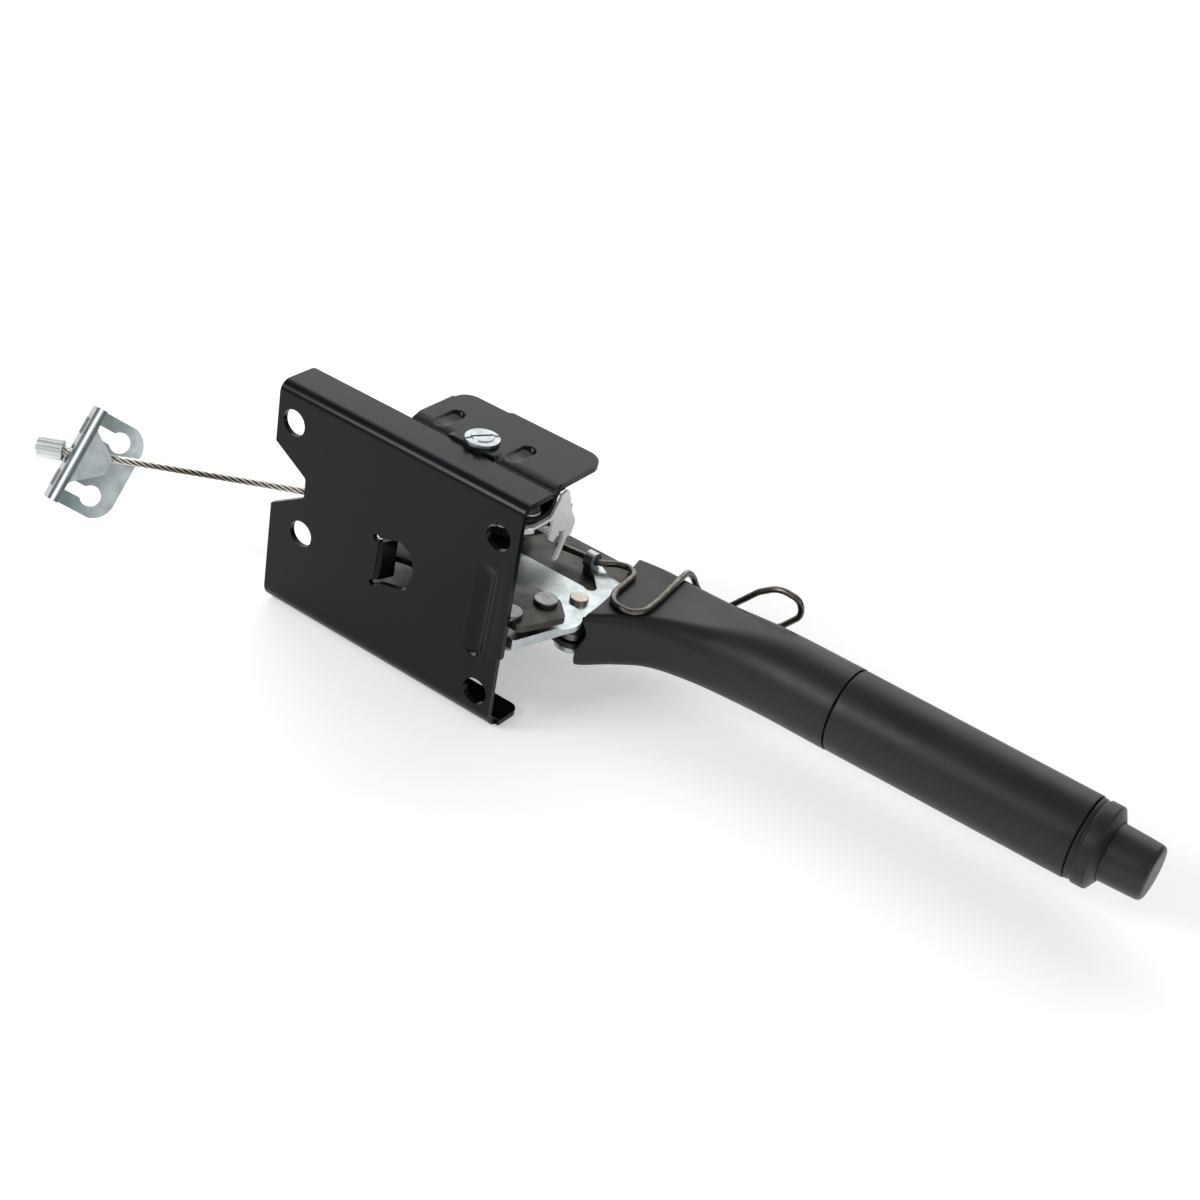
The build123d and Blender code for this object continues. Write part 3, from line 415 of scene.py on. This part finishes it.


# Small pieces with a tone of their own: the crimped ferrule is almost white, the headed pawl pin is a
# pale tan, the rivets are grey, and the small cross-recess screw on the shelf is black. The thin
# pressed switch bracket is painted almost white, lighter and less metallic than plated zinc, as a
# painted highlight for the strong light on it. All are steel, pressed, headed or turned; their finishes
# are guessed.
white_zinc = finish_material(
    "white_zinc", (0.78, 0.80, 0.80), (0.64, 0.67, 0.67), 0.34, 0.46, metallic=1.0, haze_size=150.0)
tan_zinc = finish_material(
    "tan_zinc", (0.46, 0.425, 0.365), (0.36, 0.33, 0.285), 0.30, 0.42, metallic=1.0, haze_size=300.0)
black_oxide = finish_material(
    "black_oxide", (0.040, 0.040, 0.042), (0.026, 0.026, 0.028), 0.30, 0.42, metallic=0.6,
    haze_size=400.0)
rivet_steel = finish_material(
    "rivet_steel", (0.23, 0.235, 0.235), (0.15, 0.15, 0.148), 0.30, 0.40, metallic=1.0, haze_size=260.0)
# Painted highlight: the switch bracket's sheet is lighter and less metallic than plated zinc.
thin_zinc_painted_light = finish_material(
    "thin_sheet_zinc_painted_light", (0.86, 0.87, 0.87), (0.74, 0.76, 0.76), 0.36, 0.48, metallic=0.35,
    haze_size=150.0)
for name, material, width, segments in (
        ("switch_bracket", thin_zinc_painted_light, 0.00015, 2), ("cable_ferrule", white_zinc, 0.0004, 2),
        ("drive_rivets", rivet_steel, 0.0006, 3), ("pawl_pin", tan_zinc, 0.0005, 3),
        ("shelf_screw", black_oxide, 0.0002, 2)):
    soften(nodes[name], width, segments=segments)
    wear(nodes[name], material)


# The mounting plate, its upper bracket and the fork plates: pressed from 2.5 mm sheet, bent, welded
# and dipped in black electrocoat, which leaves a smooth skin with a soft gloss.
black_coat = finish_material(
    "black_electrocoat", (0.0045, 0.0045, 0.0043), (0.0036, 0.0044, 0.0064), 0.19, 0.25, specular=0.165,
    haze_size=22.0, grain_size=1400.0, swell_size=220.0, bump=0.10)
for name in ("mounting_plate", "top_bracket", "bearing_plate_upper", "bearing_plate_lower"):
    soften(nodes[name], 0.0005)
    wear(nodes[name], black_coat)


# The plate's stiffening bead: a punch drew the sheet in along soft slopes, steeper on the right and at
# the lower end. This thin skin lines the hollow in the plate, level with the sheet round its rim.
def ease(value):
    """Runs smoothly from 0 to 1."""
    value = min(1.0, max(0.0, value))
    return value * value * (3 - 2 * value)


bead_centre = Vector((0.1066, 0.0, -0.0390))
bead_lean = radians(88.0)
bead_along = Vector((cos(bead_lean), 0.0, sin(bead_lean)))
bead_across = Vector((sin(bead_lean), 0.0, -cos(bead_lean)))
bead_inward = Vector((0.0, 1.0, 0.0))
bead_length, bead_width, bead_deep = 0.047, 0.012, 0.0017
bead_left_slope, bead_right_slope = 0.0075, 0.0045
bead_low_slope, bead_high_slope = 0.0034, 0.0070
bead_rim = 0.0016
skin_margin, skin_step, skin_proud = 0.0009, 0.00035, 0.00002


def bead_depth(u, v):
    """Depth of the bead's hollow, u along it and v across it."""
    beyond = max(0.0, abs(u) - (bead_length - bead_width) / 2)
    inside = bead_width / 2 - (beyond * beyond + v * v) ** 0.5
    if inside <= 0:
        return 0.0
    left, right = bead_width / 2 + v, bead_width / 2 - v
    low, high = bead_length / 2 + u, bead_length / 2 - u
    sides = ease(min(left / bead_left_slope, right / bead_right_slope))
    ends = min(ease(low / bead_low_slope), ease(high / bead_high_slope))
    return bead_deep * sides * ends * ease(inside / bead_rim)


bead_long, bead_wide = bead_length + 2 * skin_margin, bead_width + 2 * skin_margin
bead_rows, bead_columns = round(bead_long / skin_step), round(bead_wide / skin_step)
work = bmesh.new()
bead_grid = []
for i in range(bead_rows + 1):
    u = (i / bead_rows - 0.5) * bead_long
    row = []
    for j in range(bead_columns + 1):
        v = (j / bead_columns - 0.5) * bead_wide
        down = bead_depth(u, v) - skin_proud
        row.append(work.verts.new(bead_centre + bead_along * u + bead_across * v + bead_inward * down))
    bead_grid.append(row)
for near, far in zip(bead_grid, bead_grid[1:]):
    for j in range(bead_columns):
        work.faces.new((near[j], far[j], far[j + 1], near[j + 1]))
work.normal_update()
work.faces.ensure_lookup_table()
if work.faces[0].normal.dot(bead_inward) > 0:
    bmesh.ops.reverse_faces(work, faces=work.faces)
bead_skin = made_piece("bead_skin", work)
wear(bead_skin, black_coat)
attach(bead_skin, "frame")


# The tab's upper skin: flat coated sheet with the two ribs drawn into it. It turns down close behind
# the plate's flange, and hides the slits where the bracket's legs were bent away from the screw's
# tongue.
tab_left, tab_right, tab_near, tab_top = 0.0449, 0.1197, 0.0202, 0.0175
corner_left, corner_left_radius = 0.0535, 0.007
corner_right, corner_right_radius = 0.1107, 0.009
far_left, far_middle, far_right = 0.0471, 0.0541, 0.0465
far_step_x, far_step_run, far_step = 0.069, 0.002, 0.0014
rib_middles, rib_y = (0.0566, 0.0940), 0.0305
rib_half, rib_radius, rib_deep, rib_rim = 0.0047, 0.0038, 0.0021, 0.0014
rib_gentle_side, rib_side_run = 0.30, 0.0052
rib_gentle_end, rib_end_from, rib_end_run = 0.35, 0.0075, 0.011
tongue_left, tongue_right, tongue_run = 0.0640, 0.0905, 0.003
near_step_x, near_step, edge_drop = 0.0885, 0.0012, 0.0012
skin_inset, skin_lift = 0.0004, 0.00003
bend_run, outer_drop = 0.0052, 0.0030


def tab_far(x):
    """Far edge of the tab at X, with its step and its two rounded corners."""
    if x > corner_right:
        return far_right + max(0.0, corner_right_radius ** 2 - (x - corner_right) ** 2) ** 0.5
    if x < corner_left:
        return far_left + max(0.0, corner_left_radius ** 2 - (x - corner_left) ** 2) ** 0.5
    return far_middle + far_step * ease((x - far_step_x) / far_step_run)


def rib_depth(x, y):
    """Depth of the pressed ribs at a point of the tab."""
    deepest = 0.0
    for middle in rib_middles:
        u, v = y - rib_y, x - middle
        beyond = max(0.0, abs(u) - rib_half)
        inside = rib_radius - (beyond * beyond + v * v) ** 0.5
        if inside > 0:
            slope = min(1.0, rib_gentle_side + (1 - rib_gentle_side) * (v + rib_radius) / rib_side_run)
            run = rib_gentle_end + (1 - rib_gentle_end) * ease((u + rib_end_from) / rib_end_run)
            deepest = max(deepest, rib_deep * slope * run * ease(inside / rib_rim))
    return deepest


def tab_edge(x):
    """Near edge of the skin at X, and how far it runs down there to meet the flange."""
    at_tongue = ease((x - tongue_left) / tongue_run) * ease((tongue_right - x) / tongue_run)
    near = tab_near - near_step * ease((x - near_step_x) / tongue_run)
    return near, edge_drop * (1 - at_tongue)


turn_down = [-0.0030, -0.0004]
across_rows, tab_columns = 84, 186
tab_span = tab_right - tab_left - 2 * skin_inset
side_out, side_from, side_run, side_under = 0.00042, 0.029, 0.002, 0.0001
work = bmesh.new()
previous = None
for i in range(-1, tab_columns + 2):
    x = tab_left + skin_inset + tab_span * min(max(i, 0), tab_columns) / tab_columns
    far = tab_far(x) - skin_inset
    near, run_down = tab_edge(x)
    line = [(near, tab_top + z - run_down) for z in turn_down]
    near_in = near + skin_inset / 2
    for j in range(across_rows + 1):
        y = near_in + (far - near_in) * j / across_rows
        ramp = run_down * (1 - sin(pi / 2 * min(1.0, (y - near) / bend_run)))
        line.append((y, tab_top + skin_lift - ramp - rib_depth(x, y)))
    if i in (-1, tab_columns + 1):
        x += -side_out if i < 0 else side_out
        line = [
            (y, min(z, tab_top - outer_drop * ease((side_from - y) / side_run) - side_under))
            for y, z in line]
    column = [work.verts.new((x, y, z)) for y, z in line]
    if previous:
        for j in range(len(line) - 1):
            work.faces.new((previous[j], column[j], column[j + 1], previous[j + 1]))
    previous = column
tab_skin = made_piece("tab_skin", work)
soften(tab_skin, 0.0002, angle=50.0)
wear(tab_skin, black_coat)
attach(tab_skin, "frame")


# The slotted cheese-head screw through the tab: turned steel with a low raised middle, a cut slot and
# a rounded rim, zinc plated. Its thread goes down into the nut under the tab.
def turned(name, centre, profile, sides=64):
    """Lathe-turned piece about an upright axis, from (radius, height) pairs."""
    centre = Vector(centre)
    work = bmesh.new()
    previous = None
    for radius, height in profile:
        if radius == 0.0:
            ring = [work.verts.new(centre + Vector((0, 0, height)))]
        else:
            ring = [
                work.verts.new(centre + Vector((radius * cos(a), radius * sin(a), height)))
                for a in [2 * pi * k / sides for k in range(sides)]]
        if previous:
            for k in range(sides):
                low = previous[k % len(previous)], previous[(k + 1) % len(previous)]
                high = ring[(k + 1) % len(ring)], ring[k % len(ring)]
                corners = list(dict.fromkeys(low + high))
                work.faces.new(corners)
        previous = ring
    bmesh.ops.recalc_face_normals(work, faces=work.faces)
    return made_piece(name, work)


def cut_slot(piece, place, size, turn):
    """Cuts a straight slot into a piece for good."""
    work = bmesh.new()
    placed = Matrix.Translation(place) @ Matrix.Rotation(turn, 4, "Z") @ Matrix.Diagonal((*size, 1.0))
    bmesh.ops.create_cube(work, size=1.0, matrix=placed)
    cutter = made_piece("cutter", work)
    cut = piece.modifiers.new("slot", "BOOLEAN")
    cut.operation = "DIFFERENCE"
    cut.object = cutter
    bpy.context.view_layer.update()
    cut_piece = piece.evaluated_get(bpy.context.evaluated_depsgraph_get())
    piece.data = bpy.data.meshes.new_from_object(cut_piece)
    piece.modifiers.clear()
    bpy.data.objects.remove(cutter)


screw_x, screw_y, slot_z = 0.0773, 0.0262, 0.0204
slot_size, slot_turn = (0.018, 0.0013, 0.0034), radians(57.0)
tab_screw = turned("tab_screw", (screw_x, screw_y, 0.0), [
    (0.0, 0.0070), (0.0026, 0.0070), (0.0030, 0.0074), (0.0030, 0.0175), (0.0072, 0.0175),
    (0.0075, 0.0178), (0.0075, 0.0188), (0.00735, 0.0192), (0.0070, 0.01935), (0.0054, 0.01945),
    (0.0050, 0.0196), (0.0048, 0.0199), (0.0045, 0.02005), (0.0, 0.0201)])
cut_slot(tab_screw, (screw_x, screw_y, slot_z), slot_size, slot_turn)
soften(tab_screw, 0.00012)
wear(tab_screw, zinc)
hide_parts("bracket_screw")
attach(tab_screw, "frame")


# The lever plate's rolled eye: the end of its arm is bent up and curled over the lock wire, in one
# piece with the plate and plated with it.
def rolled_strip(name, start, centre, inner, outer, width, first, last):
    """Flat strip rolled round the X axis between two angles, given as width from a start."""
    work = bmesh.new()
    steps, rings = 20, []
    corners = ((start, inner), (start + width, inner), (start + width, outer), (start, outer))
    for i in range(steps + 1):
        angle = radians(first + (last - first) * i / steps)
        rings.append([
            work.verts.new((x, centre[0] + r * cos(angle), centre[1] + r * sin(angle)))
            for x, r in corners])
    closed_tube(work, rings)
    bmesh.ops.recalc_face_normals(work, faces=work.faces)
    return made_piece(name, work)


wire_eye = rolled_strip(
    "wire_eye", start=0.10475, centre=(0.0794, -0.04725), inner=0.00173, outer=0.00398, width=0.0047,
    first=60.0, last=215.0)
soften(wire_eye, 0.0004)
wear(wire_eye, zinc)
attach(wire_eye, "lever")


# The lever channel, drive plate, rope drum, sector and pawl: hardened steel with a dark phosphate
# skin, slightly brown, oiled and left unpainted.
dark_steel = finish_material(
    "phosphated_steel", (0.062, 0.061, 0.055), (0.040, 0.038, 0.033), 0.34, 0.48, metallic=0.8,
    haze_size=90.0, grain_size=1800.0, bump=0.2)
for name in ("lever_channel", "drive_plate", "cable_quadrant", "toothed_sector", "pawl"):
    soften(nodes[name], 0.0003)
    wear(nodes[name], dark_steel)


# Plain steel inside, oiled and not plated: the turned bush and rings of the pivot, the handle's drawn
# tube, the button's rod with the ring its spring rests on, and the pawl's coiled spring.
oiled_steel = finish_material(
    "oiled_steel", (0.42, 0.42, 0.42), (0.30, 0.30, 0.30), 0.35, 0.5, metallic=1.0)
for name in ("pivot_bush", "spacer_upper", "spacer_lower", "lever_tube", "push_rod", "spring_seat",
             "pawl_spring"):
    soften(nodes[name], 0.0001)
    wear(nodes[name], oiled_steel)


# The button's compression spring: fourteen turns of round steel wire, coiled cold, between the ring in
# the tube and the button's skirt. On the real handle it shortens as the button goes in; here it moves
# with the button.
handle_y, handle_z = 0.0897, -0.06175
spring_start, spring_end, spring_stroke = 0.3012, 0.3346, 0.006
spring_wire_radius, spring_radius, spring_turns = 0.0008, 0.0074, 14
turn_steps, wire_sides = 24, 10
spring_middle = Vector((0.0, handle_y, handle_z))
spring_run = spring_end - spring_start - 2 * spring_wire_radius
spring_steps = spring_turns * turn_steps
work = bmesh.new()
rings = []
for i in range(spring_steps + 1):
    turn = 2 * pi * i / turn_steps
    outward = Vector((0.0, cos(turn), sin(turn)))
    x = spring_start + spring_wire_radius + spring_run * i / spring_steps
    spot = spring_middle + Vector((x, 0.0, 0.0)) + outward * spring_radius
    rings.append([
        work.verts.new(spot + spring_wire_radius * (Vector((cos(a), 0.0, 0.0)) + outward * sin(a)))
        for a in [2 * pi * k / wire_sides for k in range(wire_sides)]])
closed_tube(work, rings)
bmesh.ops.recalc_face_normals(work, faces=work.faces)
return_spring = made_piece("return_spring", work)
wear(return_spring, oiled_steel)
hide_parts("button_spring")
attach(return_spring, "button")
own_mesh(return_spring)


# The lock wire: one length of brownish spring wire, bent cold into a hook, a loop and a ring. It is
# clipped through the lever plate's eye and over the grip.
wire_steel = finish_material(
    "spring_wire", (0.205, 0.188, 0.162), (0.11, 0.102, 0.090), 0.26, 0.38, metallic=1.0,
    haze_size=260.0, bump=0.12)
wear(nodes["lock_wire"], wire_steel)
for face in nodes["lock_wire"].data.polygons:
    face.use_smooth = True


# The handle's two long mouldings, pushed over the tube: charcoal plastic with a fine, even, matt skin.
# The front one flows from a square open mouth over the channel to the round of the rear one.
grip_plastic = finish_material(
    "charcoal_moulding", (0.0115, 0.0122, 0.0120), (0.0145, 0.0150, 0.0150), 0.38, 0.46,
    haze_size=40.0, specular=0.34, grain_size=2600.0, swell_size=900.0, bump=0.35, depth=0.00003)
soften(nodes["grip_rear"], 0.0006)
wear(nodes["grip_rear"], grip_plastic)


def flowing(stops, x):
    """Smooth value between stops, each a place followed by its values."""
    if x <= stops[0][0]:
        return stops[0][1:]
    for i in range(len(stops) - 1):
        a, b = stops[i], stops[i + 1]
        if x <= b[0]:
            before = stops[max(i - 1, 0)]
            after = stops[min(i + 2, len(stops) - 1)]
            t = (x - a[0]) / (b[0] - a[0])
            values = []
            for k in range(1, len(a)):
                rise_a = (b[k] - before[k]) / (b[0] - before[0]) * (b[0] - a[0])
                rise_b = (after[k] - a[k]) / (after[0] - a[0]) * (b[0] - a[0])
                values.append(
                    a[k] * (1 + 2 * t) * (1 - t) ** 2 + rise_a * t * (1 - t) ** 2
                    + b[k] * t * t * (3 - 2 * t) + rise_b * t * t * (t - 1))
            return tuple(values)
    return stops[-1][1:]


# Each stop is an X, then the near, far, top and bottom sides and the corner's radius there.
boot_stops = [
    (0.114, 0.0325, 0.1006, -0.0488, -0.0756, 0.0042),
    (0.130, 0.0430, 0.1034, -0.0488, -0.0755, 0.0044),
    (0.140, 0.0530, 0.1044, -0.0488, -0.0750, 0.0054),
    (0.152, 0.0620, 0.1052, -0.0488, -0.0747, 0.0068),
    (0.170, 0.0668, 0.1064, -0.0472, -0.0762, 0.0110),
    (0.188, 0.0698, 0.1076, -0.0444, -0.0790, 0.0155),
    (0.206, 0.0710, 0.1084, -0.04305, -0.08045, 0.0182),
    (0.220, 0.0710, 0.1084, -0.04305, -0.08045, 0.0182),
    (0.235, 0.0710, 0.1084, -0.04305, -0.08045, 0.0182)]
# The mouth's edge: X at each Y.
boot_mouth = [
    (0.030, 0.1290), (0.046, 0.1297), (0.054, 0.1293), (0.0665, 0.1274), (0.083, 0.1233),
    (0.1017, 0.1189), (0.112, 0.1178)]
boot_corner_steps, boot_side_steps, boot_rows = 14, 12, 90
boot_end, boot_crowding, boot_wall = 0.235, 1.25, 0.0015
mouth_guess, mouth_tries = 0.128, 8
lip_flare, lip_z, lip_run = 0.0006, -0.0645, 0.005
drawn_back, drawn_z, drawn_half = 0.0021, -0.0585, 0.0085
drawn_y, drawn_run = 0.062, 0.012


def boot_point(x, k):
    """Point k of the grip's rounded section at X."""
    near, far, top, bottom, corner = flowing(boot_stops, x)
    span = boot_corner_steps + boot_side_steps
    quarter, rest = divmod(k, span)
    centre_y = far - corner if quarter in (0, 3) else near + corner
    centre_z = top - corner if quarter in (0, 1) else bottom + corner
    if rest <= boot_corner_steps:
        angle = (quarter + rest / boot_corner_steps) * pi / 2
        return Vector((x, centre_y + corner * cos(angle), centre_z + corner * sin(angle)))
    share = (rest - boot_corner_steps) / boot_side_steps
    angle = (quarter + 1) * pi / 2
    start = Vector((x, centre_y + corner * cos(angle), centre_z + corner * sin(angle)))
    next_y = far - corner if quarter in (2, 3) else near + corner
    next_z = top - corner if quarter in (0, 3) else bottom + corner
    stop = Vector((x, next_y + corner * cos(angle), next_z + corner * sin(angle)))
    return start.lerp(stop, share)


def boot_edge(k):
    """X of the mouth's edge at point k: drawn back at half height and flared at the bottom lip."""
    x = mouth_guess
    for _ in range(mouth_tries):
        spot = boot_point(x, k)
        flare = lip_flare * ease((lip_z - spot.z) / lip_run)
        drawn = drawn_back * ease(1 - abs(spot.z - drawn_z) / drawn_half)
        drawn *= ease((drawn_y - spot.y) / drawn_run)
        x = flowing(boot_mouth, spot.y)[0] - flare + drawn
    return x


work = bmesh.new()
boot_around = 4 * (boot_corner_steps + boot_side_steps)
edge_x = [boot_edge(k) for k in range(boot_around)]
previous = None
for row in range(boot_rows + 1):
    share = (row / boot_rows) ** boot_crowding
    ring = [work.verts.new(boot_point(x + (boot_end - x) * share, k)) for k, x in enumerate(edge_x)]
    if previous:
        for k in range(boot_around):
            after = (k + 1) % boot_around
            work.faces.new((previous[k], ring[k], ring[after], previous[after]))
    previous = ring
bmesh.ops.recalc_face_normals(work, faces=work.faces)
front_grip = made_piece("front_grip", work)
wall = front_grip.modifiers.new("wall", "SOLIDIFY")
wall.thickness = boot_wall
wall.offset = -1.0
soften(front_grip, 0.0005, angle=50.0, segments=3)
wear(front_grip, grip_plastic)
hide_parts("grip_front")
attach(front_grip, "lever")


# The release button and the collar it slides in, at the handle's end: two round charcoal mouldings. The
# button is a cup on the rod's end, and the collar is pushed on to the tube's end.
button_plastic = finish_material(
    "button_moulding", (0.013, 0.0135, 0.0135), (0.016, 0.0165, 0.0165), 0.34, 0.42, haze_size=40.0,
    specular=0.4, grain_size=3000.0, bump=0.25)


def turned_along(name, profile, sides=96):
    """Turned piece about the handle's axis, from (X, radius) pairs that close on themselves."""
    work = bmesh.new()
    rings = []
    for x, radius in profile:
        rings.append([
            work.verts.new((x, handle_y + radius * cos(a), handle_z + radius * sin(a)))
            for a in [2 * pi * k / sides for k in range(sides)]])
    for i, ring in enumerate(rings):
        after = rings[(i + 1) % len(rings)]
        for k in range(sides):
            work.faces.new((ring[k], ring[(k + 1) % sides], after[(k + 1) % sides], after[k]))
    bmesh.ops.recalc_face_normals(work, faces=work.faces)
    return made_piece(name, work)


end_button = turned_along("end_button", [
    (0.3349, 0.0026), (0.3349, 0.0126), (0.3570, 0.01262), (0.3700, 0.0122), (0.3734, 0.0120),
    (0.3743, 0.0118), (0.3750, 0.0113), (0.3754, 0.0106), (0.3755, 0.0100), (0.3756, 0.0094),
    (0.3757, 0.0060), (0.3757, 0.0004), (0.3430, 0.0004), (0.3430, 0.0026)])
soften(end_button, 0.0004, angle=40.0)
wear(end_button, button_plastic)
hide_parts("push_button")
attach(end_button, "button")

end_collar = turned_along("end_collar", [
    (0.34585, 0.0157), (0.34585, 0.0177), (0.3470, 0.0177), (0.3475, 0.0173), (0.3479, 0.0172),
    (0.3483, 0.0174), (0.3487, 0.0179), (0.3491, 0.0181), (0.3536, 0.0181), (0.3542, 0.0180),
    (0.3546, 0.0177), (0.3569, 0.0135), (0.3570, 0.0132), (0.3568, 0.0129), (0.3560, 0.0129),
    (0.3560, 0.0136), (0.3530, 0.0157)])
soften(end_collar, 0.0001, angle=50.0)
wear(end_collar, grip_plastic)
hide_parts("grip_collar")
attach(end_collar, "lever")


# The studio: a white lit table that runs off behind, a broad panel low behind the lever, a soft box at
# the front left and a weak one at the right. Straight overhead it is dim.
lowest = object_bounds()[0][2]
table_reach, table_gap = 6.0, 0.0005
studio_centre = Vector((0.12, 0.03, -0.03))
table_mesh = bpy.data.meshes.new("studio_table")
table_mesh.from_pydata(
    [(-table_reach, -table_reach, 0), (table_reach, -table_reach, 0), (table_reach, table_reach, 0),
     (-table_reach, table_reach, 0)], [], [(0, 1, 2, 3)])
table = bpy.data.objects.new("studio_table", table_mesh)
table.location.z = lowest - table_gap
bpy.context.scene.collection.objects.link(table)
table_white = bpy.data.materials.new("table_white")
table_white.use_nodes = True
table_skin = table_white.node_tree.nodes["Principled BSDF"]
table_skin.inputs["Base Color"].default_value = (0.90, 0.90, 0.90, 1.0)
table_skin.inputs["Roughness"].default_value = 0.9
table_skin.inputs["Emission Color"].default_value = (1.0, 1.0, 1.0, 1.0)
table_skin.inputs["Emission Strength"].default_value = 0.36
table_mesh.materials.append(table_white)
room = bpy.data.worlds.new("studio_room")
room.use_nodes = True
room.node_tree.nodes["Background"].inputs["Color"].default_value = (1.0, 1.0, 1.0, 1.0)
room.node_tree.nodes["Background"].inputs["Strength"].default_value = 0.32
bpy.context.scene.world = room


def soft_light(name, away, distance, width, height, glow):
    """Soft box in a given direction from the lever, facing it, with a given brightness."""
    data = bpy.data.lights.new(name, "AREA")
    data.shape = "RECTANGLE"
    data.size = width
    data.size_y = height
    data.energy = glow * pi * width * height
    lamp = bpy.data.objects.new(name, data)
    away = Vector(away).normalized()
    lamp.location = studio_centre + away * distance
    lamp.rotation_euler = away.to_track_quat("Z", "Y").to_euler()
    bpy.context.scene.collection.objects.link(lamp)


soft_light("back_panel", (-0.42, 0.73, 0.56), 1.7, 2.6, 1.5, 1.6)
soft_light("front_left_box", (-0.42, -0.73, 0.54), 1.3, 0.55, 0.5, 10.0)
soft_light("right_box", (0.85, -0.25, 0.45), 1.4, 0.6, 0.6, 1.4)
bpy.context.scene.view_settings.view_transform = "Standard"
